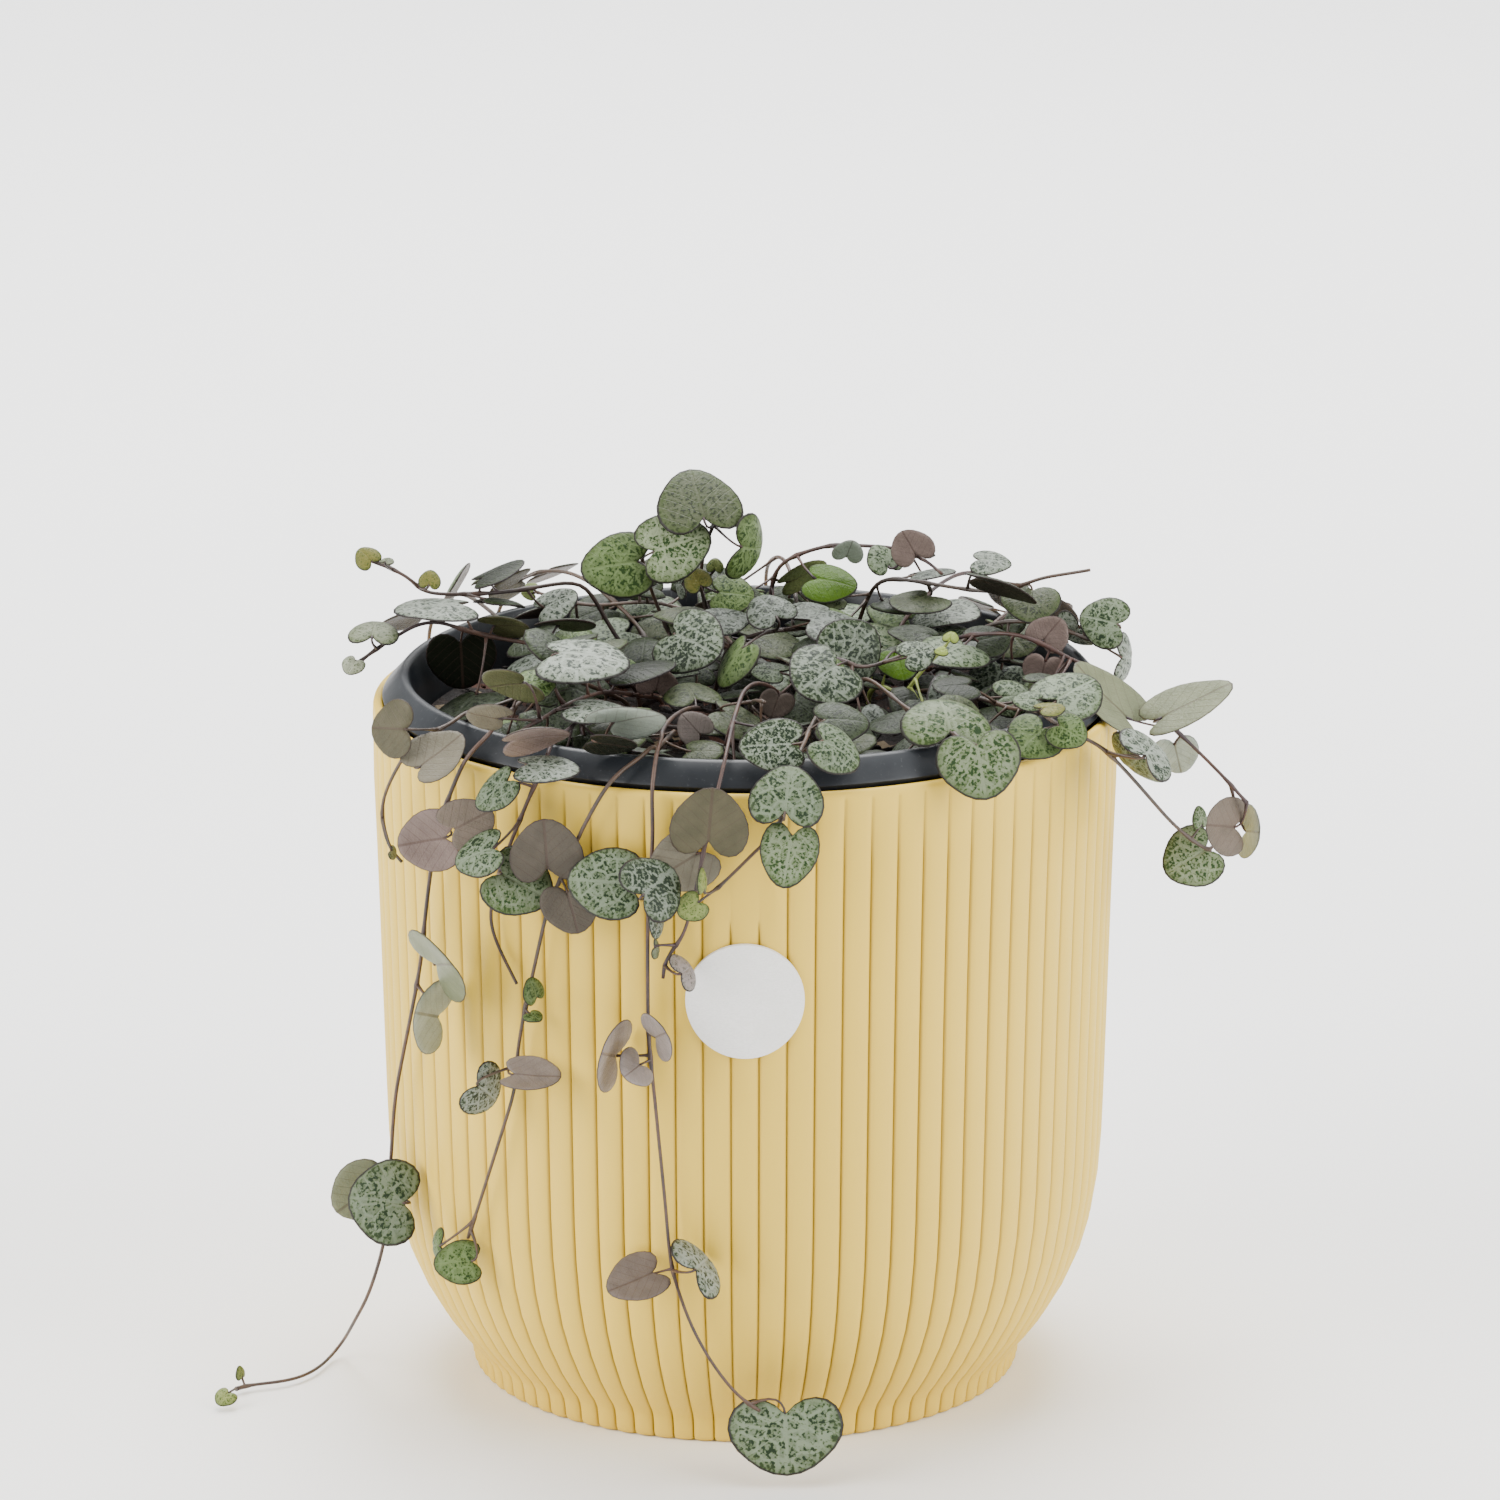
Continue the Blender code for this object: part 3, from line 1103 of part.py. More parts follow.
def fuse_vine(name, path, leaves):
    """One solid of a stem and all its leaves."""
    vine = add_object(name, stem_mesh(path), "vine")
    if not leaves:
        return
    group = bpy.data.collections.new("leaves")
    bpy.context.scene.collection.children.link(group)
    for frame, width, long, root, plain in leaves:
        bm = leaf_mesh(width, long, frame.inverted() @ root, plain)
        bm.transform(frame)
        leaf = add_object("leaf", bm, "vine")
        group.objects.link(leaf)
        bpy.context.scene.collection.objects.unlink(leaf)
    apply_boolean(vine, group, "UNION", "MANIFOLD")
    tidy_union(vine)
    vine.data.shade_smooth()
    vine.data.set_sharp_from_angle(angle=math.radians(40))


def spread_roots(points):
    """Move the places where stems leave the soil apart so that their holes stay separate."""
    roots = []
    for point in points:
        root = Vector((point.x, point.y, SOIL_LEVEL))
        for _ in range(20):
            for other in roots:
                gap = (root - other).to_2d()
                if gap.length < ROOT_SPACING:
                    away = gap.normalized() if gap.length > 0.1 * MM else Vector((1, 0))
                    root += Vector((away.x, away.y, 0)) * (ROOT_SPACING - gap.length)
        roots.append(root)
    return roots


def stem_paths():
    """The names and runs of all stems, each clear of those before it."""
    routes = [(vine.name, route_of(vine)) for vine in VINES]
    routes += [(name, [Vector(place) * MM for place in places]) for name, places in HIDDEN_VINES]
    roots = spread_roots([route[0] for name, route in routes])
    paths = []
    for (name, route), root in zip(routes, roots):
        top = root + Vector((0, 0, 2.5 * MM))
        path = smooth_path([top] + route[1:])
        path = settle(path, [other for _, other in paths if passes_near(path, other)])
        path = straighten(path, STEM_SLACK)
        foot = root - Vector((0, 0, ROOT_DEPTH - 0.6 * MM))
        paths.append((name, [foot] + path))
    return paths, roots


def remember(crowd, thing, kind):
    """Add a finished object to the crowd."""
    bm = bmesh.new()
    bm.from_mesh(thing.data)
    crowd.add(bm, kind, thing.name)


def main():
    """Build every piece."""
    clear_scene()
    paths, roots = stem_paths()
    crowd = Crowd()
    for pot in (build_cover_pot(), build_label(), build_nursery_pot(), build_soil(roots)):
        remember(crowd, pot, "pot")
    for name, path in paths:
        crowd.add(stem_mesh(path), "stem", name)
    leaves = {name: [] for name, path in paths}
    wishes = [(heart, name, path[2:]) for vine, (name, path) in zip(VINES, paths) for heart in vine.hearts]
    for heart, name, path in sorted(wishes, key=prominence, reverse=True):
        if not place_heart(crowd, leaves[name], heart, path, name):
            raise RuntimeError(f"no room for a leaf of {name} at {heart.px}, {heart.py}")
    draw = random.Random(SEED)
    for vine, (name, path) in zip(VINES, paths):
        fill_stem(crowd, leaves[name], path, name, draw, vine.fill, MOUND_LEVEL)
    for name, path in paths[len(VINES):]:
        fill_stem(crowd, leaves[name], path, name, draw, HIDDEN_NODES, 0.0)
    cover_soil(crowd, leaves, paths, draw)
    for name, path in paths:
        fuse_vine(name, path, leaves[name])


main()
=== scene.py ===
"""Potted string of hearts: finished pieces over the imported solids.

Lengths are in metres, the origin is on the pots' axis at the floor and +Z is up. The stems follow
the same routes as the solids, and each leaf is grown over the plain leaf that it replaces.
"""
import math
import random
from collections import namedtuple

import bmesh
import bpy
from mathutils import Matrix, Vector, noise as lumps
from mathutils.bvhtree import BVHTree
from mathutils.kdtree import KDTree


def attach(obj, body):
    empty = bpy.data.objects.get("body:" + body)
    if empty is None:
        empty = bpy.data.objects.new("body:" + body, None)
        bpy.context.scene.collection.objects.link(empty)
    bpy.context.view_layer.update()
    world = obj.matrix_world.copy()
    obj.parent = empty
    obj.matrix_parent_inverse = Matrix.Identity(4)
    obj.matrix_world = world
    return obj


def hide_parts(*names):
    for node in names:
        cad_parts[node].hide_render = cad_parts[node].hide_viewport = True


bl_info = {
    "name": "Potted string of hearts",
    "version": (1, 0, 0),
    "blender": (4, 5, 0),
    "location": "View3D > Sidebar > Hearts",
    "description": "Ribbed cover pot, grower's pot, soil and trailing heart leaves",
    "category": "Object",
}

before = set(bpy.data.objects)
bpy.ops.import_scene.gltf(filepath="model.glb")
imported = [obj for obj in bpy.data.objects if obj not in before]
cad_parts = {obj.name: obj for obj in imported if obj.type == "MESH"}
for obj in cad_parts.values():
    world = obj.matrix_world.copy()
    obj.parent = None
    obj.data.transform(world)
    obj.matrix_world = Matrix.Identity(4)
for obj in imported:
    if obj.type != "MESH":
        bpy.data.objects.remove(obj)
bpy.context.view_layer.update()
MM = 0.001

# The outside of the cover pot from the foot to the rim, and its inside, as height and radius in mm
COVER_OUTSIDE = [(0.0, 50.6), (0.4, 51.5), (1.2, 51.9), (3.0, 52.1), (4.5, 52.4), (6.0, 53.2), (8.0, 54.9),
                 (12.0, 57.9), (18.0, 61.4), (24.0, 64.0), (30.0, 65.7), (38.0, 67.0), (46.0, 67.6),
                 (55.0, 67.9), (70.0, 68.3), (90.0, 68.8), (104.0, 69.2), (107.0, 69.3), (116.0, 69.6),
                 (128.6, 69.9), (129.4, 69.95), (130.0, 69.8), (130.4, 69.3)]
COVER_INSIDE = [(130.4, 68.6), (130.0, 68.0), (129.0, 67.5), (90.0, 66.5), (46.0, 65.3), (20.0, 60.2),
                (8.0, 54.0), (4.0, 49.0)]
# The grooves fade out below the smooth rim band, in mm, and in the flat panel under the label, which is
# that many degrees wide to each side of the front
RIM_BAND = 128.9
RIM_FADE = 0.8
PANEL_BOTTOM = 105.5
PANEL_FADE = 1.5
PANEL_HALF = 4.0
# Across one rib from a groove's bottom: how far along it, and how deep as a share of the groove
RIB_SHAPE = [(0.0, 1.0), (0.05, 0.30), (0.095, 0.0), (0.27, -0.41), (0.50, -0.60), (0.73, -0.41),
             (0.905, 0.0), (0.95, 0.30)]
# The underside of the cover pot from its middle outwards
COVER_UNDERSIDE = [(0.9, 46.0), (0.9, 47.0), (0.0, 48.0), (0.0, 49.5)]

# The grower's pot as radius and height in mm, from the middle of its underside to that of its floor
GROWER_PROFILE = [(0.0, 14.0), (14.0, 14.0), (45.6, 14.0), (47.4, 14.5), (48.5, 16.0), (56.0, 73.0),
                  (62.6, 123.6), (63.4, 125.9), (65.0, 128.0), (67.9, 130.7), (68.2, 131.2), (67.9, 131.7),
                  (66.3, 133.4), (64.9, 135.0), (64.3, 135.35), (63.5, 135.3), (63.0, 134.7), (62.2, 129.0),
                  (61.4, 124.0), (54.0, 70.0), (46.9, 17.0), (45.6, 15.6), (14.0, 15.4), (0.0, 15.4)]
GROWER_SEGMENTS = 128
POT_CREASE = 50

SOIL_LEVEL = 125.0 * MM
SOIL_RADIUS = 60.9 * MM
SOIL_BOTTOM = 16.0 * MM
SOIL_FLOOR = 46.0
SOIL_RINGS = 26
SOIL_SEGMENTS = 110
CRUMB_SIZES = (0.45, 0.6, 0.7, 0.9, 1.2, 1.6)
ROOT_DEPTH = 5.0 * MM
ROOT_SPACING = 4.6 * MM

LABEL_RADIUS = 11.0 * MM
LABEL_THICKNESS = 0.7 * MM
LABEL_HEIGHT = 91.5 * MM
LABEL_SIDES = 96
# Rings that split the label's face so that it bends with the pot, the bend's radius, the gap for the glue,
# and the rounding of its edge, across and down
LABEL_RINGS = (0.96, 0.75, 0.72, 0.70, 0.66, 0.60)
LABEL_BEND = 70 * MM
LABEL_GAP = 0.4 * MM
LABEL_EDGE = 0.985
LABEL_DROP = 0.12 * MM
LABEL_CREASE = 40

# The lowest way over soil, collar and rim: distance from the axis and height in mm
OVER_POTS = [(0.0, 126.9), (54.0, 127.2), (61.0, 136.3), (65.6, 136.3), (69.0, 132.6), (70.4, 131.6)]
# The simpler outside that the stems' solids keep clear of, as height and radius in mm
POT_SIDE = [(0.0, 51.8), (5.0, 52.5), (11.0, 57.2), (18.5, 61.8), (29.0, 65.5), (46.0, 67.6), (129.2, 69.9),
            (130.4, 69.5)]
STEM_RADIUS = 0.70 * MM
TAIL_RADIUS = 0.50 * MM
FINE_STEP = 3.0 * MM
STEM_SLACK = 0.45 * MM
STEM_CLEARANCE = 2.6 * MM
REACH = 3.0 * MM
SETTLE_ROUNDS = 10
SPREAD_ROUNDS = 20
SAME_PLACE = 0.1 * MM

# The front view that the stems' routes are read in
VIEW_TILT = math.radians(15.4)
VIEW_DISTANCE = 1.5
VIEW_POINT = Vector((0.0, 0.0, 0.1196))
VIEW_CENTRE_X = 745.2
VIEW_CENTRE_Y = 750.0
VIEW_SCALE = 0.18844 * MM
RIGHT = Vector((1, 0, 0))
SKYWARD = Vector((0, math.sin(VIEW_TILT), math.cos(VIEW_TILT)))
TOWARDS = Vector((0, -math.cos(VIEW_TILT), math.sin(VIEW_TILT)))
EYE = VIEW_POINT + TOWARDS * VIEW_DISTANCE
PHOTO_WIDTH = 1500

# The soft lights: place, size, share of the key light's power, colour and what each faces
Lamp = namedtuple("Lamp", "name place size share colour target")
LAMPS = [
    Lamp("left_box", (-1.36, -0.64, 0.75), 1.2, 1.0, (1.0, 0.985, 0.965), VIEW_POINT),
    Lamp("right_box", (1.36, -0.64, 0.70), 1.2, 0.9, (1.0, 0.995, 0.985), VIEW_POINT),
    Lamp("top_box", (0.0, 0.35, 1.7), 1.1, 0.7, (1.0, 1.0, 1.0), VIEW_POINT),
    Lamp("floor_box", (0.0, 1.25, 1.3), 1.3, 1.2, (1.0, 1.0, 1.0), (0.0, 1.25, 0.0)),
]
WORLD_LIGHT = 0.62
FLOOR_HALF = 6.0
FLOOR_SHADE = 0.985
# The cover pot's colour where it is cloudy and, as painted shade, in its grooves, as shares of the plain one
COVER_CLOUD_AND_GROOVE_SHADE = (0.93, 0.42)

# A stem's route: each point is px, py and a depth in mm. `over` gives how far back it is, `down`
# its distance from the pot's axis, and `along` its height over the floor.
Vine = namedtuple("Vine", "name over down along", defaults=([], [], []))

VINES = [
    Vine("vine_left_upper",
         over=[(650, 686, 22), (625, 650, 24), (600, 610, 24), (582, 582, 22), (545, 586, 20), (507, 592, 18),
               (470, 594, 16), (445, 594, 16), (425, 592, 15), (411, 580, 14), (400, 573, 14), (380, 563, 13),
               (372, 559, 12)]),
    Vine("vine_left_lower",
         over=[(600, 700, 8), (575, 665, 8), (541, 646, 8), (496, 638, 9), (461, 629, 9), (440, 622, 9),
               (419, 624, 9), (400, 634, 8), (375, 650, 7), (362, 660, 6), (353, 667, 6)]),
    Vine("vine_left_thin",
         over=[(633, 712, 3), (600, 690, -4), (565, 680, -14), (515, 699, -26), (480, 711, -33)],
         down=[(462, 718, 64.5), (440, 729, 71.5), (413, 744, 76.0), (399, 765, 76.5), (388, 786, 76.5),
               (381, 812, 76.0), (388, 845, 75.0), (402, 862, 73.5)]),
    Vine("vine_left_long",
         over=[(640, 700, 12), (612, 672, 2), (582, 676, -8), (534, 693, -22)],
         down=[(503, 718, 64.3), (484, 740, 71.6), (467, 757, 74.5), (448, 800, 74.0), (435, 845, 73.5),
               (426, 910, 73.0), (421, 960, 72.5), (412, 1010, 72.0), (402, 1060, 72.0), (395, 1100, 72.0),
               (391, 1157, 72.5), (388, 1200, 73.0), (384, 1242, 74.0), (370, 1290, 74.7), (355, 1320, 76.0),
               (340, 1345, 77.7)],
         along=[(318, 1368, 1.2), (290, 1380, 1.2), (250, 1385, 1.2), (236, 1389, 1.2)]),
    Vine("vine_front_left",
         over=[(640, 714, -4), (610, 704, -16), (588, 714, -34)],
         down=[(566, 732, 58.5), (552, 752, 65.5), (538, 778, 72.5), (520, 820, 73.0), (502, 866, 73.0),
               (492, 900, 72.5), (491, 925, 72.0), (500, 950, 71.5), (517, 984, 71.5)]),
    Vine("vine_front_middle",
         over=[(690, 712, 6), (682, 722, -14), (668, 738, -40)],
         down=[(650, 754, 64.2), (630, 764, 67.8), (610, 782, 71.8), (595, 806, 73.0), (579, 836, 73.0),
               (565, 872, 73.0), (557, 886, 73.0), (547, 912, 72.5), (533, 974, 72.0), (525, 1010, 72.0),
               (518, 1050, 72.0), (515, 1088, 71.5), (503, 1129, 71.0), (491, 1167, 71.0), (478, 1208, 70.5),
               (468, 1238, 70.0)]),
    Vine("vine_front_long",
         over=[(722, 720, 0), (712, 712, -10), (690, 708, -25), (668, 722, -45)],
         down=[(658, 745, 65.5), (655, 768, 69.8), (652, 790, 72.2), (653, 837, 72.5), (650, 880, 73.0),
               (648, 930, 72.5), (648, 988, 72.0), (649, 1040, 72.0), (654, 1090, 72.0), (660, 1150, 71.5),
               (666, 1210, 71.0), (671, 1264, 71.5), (680, 1295, 72.0), (692, 1327, 73.0), (714, 1366, 73.5),
               (738, 1396, 73.5), (760, 1411, 73.5)]),
    Vine("vine_front_purple",
         over=[(790, 715, 0), (778, 692, -8), (760, 683, -16), (745, 690, -26), (735, 716, -42)],
         down=[(729, 742, 63.5), (724, 765, 68.6), (718, 790, 72.5), (710, 825, 73.5), (703, 855, 74.0),
               (697, 885, 74.0), (690, 915, 73.5), (682, 938, 73.0), (670, 953, 72.5), (655, 978, 72.0)]),
    Vine("vine_front_right",
         over=[(850, 718, 0), (842, 700, -15), (825, 705, -32), (812, 725, -46), (803, 748, -60)],
         down=[(797, 770, 67.6), (789, 795, 72.0), (781, 822, 73.0), (768, 840, 73.0), (755, 852, 73.0),
               (735, 872, 74.0), (718, 888, 76.0)]),
    Vine("vine_right_front",
         over=[(835, 712, 5), (850, 690, -8), (866, 678, -18), (888, 693, -27), (908, 709, -36),
               (935, 722, -48), (958, 736, -56), (965, 746, -59)]),
    Vine("vine_right_low",
         over=[(900, 706, 10), (930, 690, 0), (975, 697, -15), (1015, 710, -28), (1043, 722, -36),
               (1072, 733, -40), (1099, 745, -39), (1125, 770, -34), (1150, 798, -30), (1175, 826, -26),
               (1200, 846, -24), (1212, 850, -24)]),
    Vine("vine_right_long",
         over=[(905, 683, 26), (925, 660, 18), (951, 640, 10), (982, 634, 4), (1020, 635, 0), (1058, 652, -2),
               (1097, 676, -4), (1135, 699, -6), (1150, 707, -7), (1181, 735, -8), (1212, 765, -9),
               (1232, 786, -10), (1247, 803, -10)]),
    Vine("vine_young_shoot",
         over=[(868, 703, 12), (880, 686, 4), (893, 691, -4), (905, 694, -9), (915, 679, -11),
               (931, 661, -11), (947, 644, -9)]),
    Vine("vine_top_right",
         over=[(765, 656, 45), (768, 610, 44), (778, 566, 40), (803, 553, 38), (831, 545, 36), (866, 546, 32),
               (896, 548, 28), (925, 560, 22), (942, 574, 18)]),
    Vine("vine_top_far_right",
         over=[(850, 660, 42), (862, 612, 38), (880, 580, 34), (920, 582, 28), (957, 588, 22), (995, 592, 16),
               (1020, 586, 14), (1041, 578, 12), (1066, 574, 10), (1090, 570, 8)]),
    Vine("vine_right_middle",
         over=[(940, 677, 30), (960, 642, 24), (1000, 622, 18), (1050, 625, 12), (1085, 638, 8),
               (1097, 642, 7)]),
    Vine("vine_upright_tall",
         over=[(735, 690, 20), (722, 650, 20), (705, 605, 20), (700, 575, 18), (706, 545, 16),
               (714, 523, 14)]),
    Vine("vine_upright_left",
         over=[(690, 686, 24), (672, 640, 24), (655, 600, 22), (646, 575, 19), (642, 558, 17)]),
    Vine("vine_mound_middle",
         over=[(714, 706, 10), (718, 680, 4), (724, 655, 1), (738, 640, 0), (765, 632, 1), (792, 629, 3),
               (815, 628, 6)]),
    Vine("vine_mound_right",
         over=[(800, 708, 8), (806, 682, -2), (820, 662, -9), (838, 657, -13), (856, 668, -14),
               (880, 664, -10), (902, 655, -6)]),
    Vine("vine_mound_left",
         over=[(664, 708, 8), (640, 696, 0), (612, 692, -12), (585, 697, -24), (560, 708, -36),
               (540, 720, -46)]),
    Vine("vine_mound_front",
         over=[(706, 722, -8), (690, 726, -22), (672, 730, -36), (650, 735, -46), (625, 738, -52),
               (606, 738, -54)]),
    Vine("vine_mound_centre",
         over=[(752, 716, -4), (750, 706, -18), (752, 700, -30), (765, 702, -40)]),
]

# Stems that the front view doesn't reach: x, y and z in mm
HIDDEN_VINES = [
    ("vine_back_long",
     [(8, 30, 125), (10, 42, 136), (8, 56, 142), (5, 66, 140), (4, 74, 132), (6, 76, 110), (12, 75, 86),
      (16, 73, 62), (18, 71, 40)]),
    ("vine_back_left",
     [(-16, 28, 125), (-22, 40, 135), (-34, 52, 141), (-45, 59, 137), (-50, 62, 124), (-52, 58, 104),
      (-50, 56, 88)]),
    ("vine_back_right",
     [(26, 30, 125), (32, 42, 136), (42, 52, 141), (50, 58, 136), (53, 62, 122), (52, 60, 100), (48, 59, 80),
      (45, 58, 64)]),
    ("vine_side_right",
     [(30, 12, 125), (42, 20, 134), (53, 31, 140), (61, 41, 134), (63, 45, 118), (62, 46, 100)]),
    ("vine_side_left",
     [(-34, 24, 125), (-45, 32, 135), (-55, 40, 140), (-61, 47, 132), (-61, 49, 118), (-60, 49, 100),
      (-58, 48, 84)]),
    ("vine_mound_back",
     [(0, 18, 125), (-4, 24, 136), (-16, 32, 140), (-30, 38, 138), (-40, 44, 139)]),
]

# The leaf's colours that don't change with its tone, and how much paler its ridges are than the rest
PATCH_GREEN = (0.055, 0.090, 0.018)
MARGIN_GREEN = (0.055, 0.085, 0.020)
EDGE_DARK = (0.017, 0.013, 0.014)
VEIN_BROWN = (0.06, 0.035, 0.028)
UNDER_EDGE = (0.045, 0.030, 0.028)
RIDGE_GAIN = (1.42, 1.38, 1.48)
SIDE_VEINS = 6.5
SIDE_VEIN_SLOPE = 0.85

# A leaf's upper colour, the colour of its specks, how much of it they cover, how green it is round them and
# along its edge, and the colour of its underside
Tone = namedtuple("Tone", "upper speck specks flush under")
TONES = {
    "silver": Tone((0.124, 0.157, 0.099), (0.012, 0.024, 0.010), 0.60, 0.50, (0.105, 0.080, 0.064)),
    "frost": Tone((0.176, 0.200, 0.160), (0.020, 0.030, 0.020), 0.58, 0.20, (0.150, 0.124, 0.105)),
    "mint": Tone((0.120, 0.148, 0.086), (0.014, 0.034, 0.009), 0.55, 0.80, (0.150, 0.132, 0.098)),
    "fresh": Tone((0.185, 0.225, 0.130), (0.020, 0.045, 0.013), 0.52, 0.70, (0.150, 0.132, 0.098)),
    "dense": Tone((0.114, 0.137, 0.099), (0.010, 0.018, 0.009), 0.85, 0.30, (0.090, 0.070, 0.056)),
    "grey": Tone((0.094, 0.108, 0.088), (0.011, 0.016, 0.010), 0.65, 0.15, (0.090, 0.070, 0.058)),
    "green": Tone((0.098, 0.142, 0.052), (0.014, 0.034, 0.006), 0.52, 1.00, (0.115, 0.120, 0.055)),
    "olive": Tone((0.051, 0.060, 0.031), (0.015, 0.020, 0.009), 0.55, 0.50, (0.080, 0.071, 0.041)),
    # The dark and night tones are painted shade: near-black leaves for places where the mound lies in shadow
    "dark": Tone((0.030, 0.038, 0.023), (0.008, 0.011, 0.006), 0.65, 0.30, (0.030, 0.025, 0.018)),
    "deep_shade": Tone((0.012, 0.015, 0.009), (0.006, 0.008, 0.004), 0.50, 0.20, (0.010, 0.012, 0.007)),
    "bright": Tone((0.048, 0.105, 0.001), (0.030, 0.075, 0.001), 0.05, 0.30, (0.050, 0.110, 0.002)),
    "lime": Tone((0.165, 0.198, 0.062), (0.050, 0.090, 0.018), 0.35, 0.80, (0.165, 0.195, 0.070)),
    "yellow": Tone((0.135, 0.130, 0.030), (0.055, 0.070, 0.012), 0.30, 0.60, (0.150, 0.120, 0.035)),
    "purple": Tone((0.095, 0.080, 0.060), (0.035, 0.030, 0.022), 0.40, 0.20, (0.165, 0.132, 0.113)),
    "lilac": Tone((0.200, 0.175, 0.160), (0.080, 0.070, 0.060), 0.40, 0.20, (0.235, 0.200, 0.185)),
    "plum": Tone((0.060, 0.055, 0.040), (0.025, 0.022, 0.016), 0.40, 0.20, (0.078, 0.066, 0.050)),
    "rose": Tone((0.160, 0.125, 0.105), (0.070, 0.050, 0.040), 0.40, 0.20, (0.215, 0.162, 0.143)),
    "fawn": Tone((0.150, 0.140, 0.100), (0.050, 0.050, 0.030), 0.35, 0.30, (0.165, 0.148, 0.108)),
    "pale": Tone((0.150, 0.168, 0.105), (0.045, 0.060, 0.028), 0.35, 0.30, (0.175, 0.190, 0.112)),
    # The cream tone is a pale leaf colour, made paler still as painted light on leaves that turn away from
    # the lamps
    "cream": Tone((0.260, 0.280, 0.200), (0.080, 0.100, 0.050), 0.35, 0.30, (0.370, 0.420, 0.360)),
    "mauve": Tone((0.110, 0.112, 0.078), (0.035, 0.040, 0.024), 0.45, 0.30, (0.140, 0.109, 0.085)),
    "shoot": Tone((0.200, 0.250, 0.050), (0.140, 0.200, 0.035), 0.05, 0.20, (0.200, 0.250, 0.055)),
}
# Where the front view shows a leaf of each tone, as px and py
TONE_SPOTS = {
    "silver": [(775, 700), (788, 795), (836, 748), (597, 882), (497, 790), (480, 853), (386, 1200),
               (786, 1435), (1105, 621), (1070, 693), (1012, 697), (1028, 700), (884, 559), (1130, 768)],
    "frost": [(582, 655), (554, 603), (437, 606), (546, 766), (485, 1091), (658, 921), (701, 1264),
              (597, 707), (1075, 633), (680, 584), (840, 612), (948, 612), (1060, 612), (1127, 658),
              (1149, 751), (990, 561), (656, 922)],
    "fresh": [(673, 545), (1192, 858)],
    "mint": [(789, 853), (1201, 818), (518, 882), (880, 639), (947, 719), (980, 762)],
    "dense": [(655, 885), (690, 641), (824, 673), (852, 648), (774, 745), (917, 654), (997, 681)],
    "grey": [(725, 618), (770, 609), (828, 621), (810, 606), (930, 572), (538, 661)],
    "green": [(619, 565), (750, 548), (731, 594), (534, 1016), (534, 991), (459, 1262), (437, 1246),
              (506, 623), (512, 682), (1068, 731), (1034, 737), (734, 660)],
    "olive": [(699, 501), (710, 823), (740, 720), (773, 639), (691, 693), (800, 639), (918, 601),
              (665, 639), (395, 729), (1016, 639)],
    # The dark and night spots are painted shade: leaves there are coloured as dark as the shadows in the
    # mound
    "dark": [(500, 600), (469, 702), (583, 693), (840, 720), (894, 720), (989, 639), (917, 633), (597, 612),
             (541, 636), (1002, 720)],
    "deep_shade": [(461, 656), (496, 572), (640, 668), (610, 742), (956, 686)],
    "bright": [(829, 581), (900, 662)],
    "lime": [(704, 882), (692, 907), (225, 1397), (241, 1373), (715, 566), (800, 574)],
    "yellow": [(697, 580), (430, 580), (367, 557), (1050, 708)],
    "purple": [(776, 703), (638, 1281), (682, 972)],
    "lilac": [(694, 726), (530, 1077), (610, 1054), (634, 1069), (661, 1035), (685, 971)],
    "plum": [(547, 851), (571, 905)],
    "rose": [(1043, 669), (1049, 632), (911, 546), (533, 735), (658, 681), (430, 839)],
    "fawn": [(436, 757), (682, 862), (489, 715)],
    "pale": [(366, 1191), (1106, 702), (1186, 708), (374, 630), (442, 963), (388, 561), (393, 853),
             (657, 950)],
    "cream": [(428, 1014), (353, 665), (848, 551), (629, 717), (1177, 753), (1252, 832)],
    "mauve": [(467, 822), (1223, 826)],
}
# How near a spot has to be in the front view, and how far back a leaf may stand to take its tone
TONE_REACH = 9.0
TONE_BACK = 0.045
COMMON_TONES = ["silver", "silver", "grey", "grey", "olive", "green", "dark"]
SEED = 11

# A leaf: its frame at the notch, its width, its length as a share of the usual one, where its stalk's root
# is on the stem, and the stalk's bend where it has one. A fit is how a solid's leaf was recognised.
Leaf = namedtuple("Leaf", "place width long root bend")
Fit = namedtuple("Fit", "miss place width long pair")

# Half of the edge of the two plain leaves in the solids, from the notch round, as fractions of the width
NOTCH_HALF = 0.05
PLAIN_HALF = [(0.05, 0.0), (0.38, -0.12), (0.47, 0.34)]
HEART_HALF = [(0.05, 0.0), (0.31, -0.14), (0.50, 0.17), (0.34, 0.56)]
HEART_TIP = 0.76
HEART_MIDDLE = 0.28
# A solid's leaf is a fan of nearly flat faces close over another one, and fits one of the plain leaves
FAN_FACES = 7
FAN_FLATNESS = 0.75
FAN_GAP = 1.3 * MM
LEAST_LONG, MOST_LONG = 0.6, 1.7
MOST_MISFIT = 0.12
# The marbling is drawn for a leaf of this width in mm, and grows a little with larger leaves
PATTERN_LEAF = 12.0
PATTERN_GROWTH = 0.45
# Half of a finished leaf's edge, from the notch to the tip
FINISHED_HALF = [(0.0, 0.045), (0.035, 0.005), (0.085, -0.060), (0.170, -0.118), (0.270, -0.138),
                 (0.365, -0.108), (0.440, -0.030), (0.485, 0.080), (0.500, 0.200), (0.480, 0.330),
                 (0.420, 0.460), (0.330, 0.575), (0.232, 0.674), (0.120, 0.741), (0.0, 0.764)]
LEAF_THICKNESS = 0.62 * MM
LEAF_GAIN = 0.016
LEAF_SIDES = 28
LEAF_RINGS = 12
MIDRIB_HALF = 0.035
MIDRIB_DEPTH = 0.16 * MM
QUILT_DEPTH = 0.05 * MM
QUILT_WAVES = 38
STALK_RADIUS = 0.27 * MM
EASE_STEP = 1.6 * MM
EASE_ROUNDS = 5
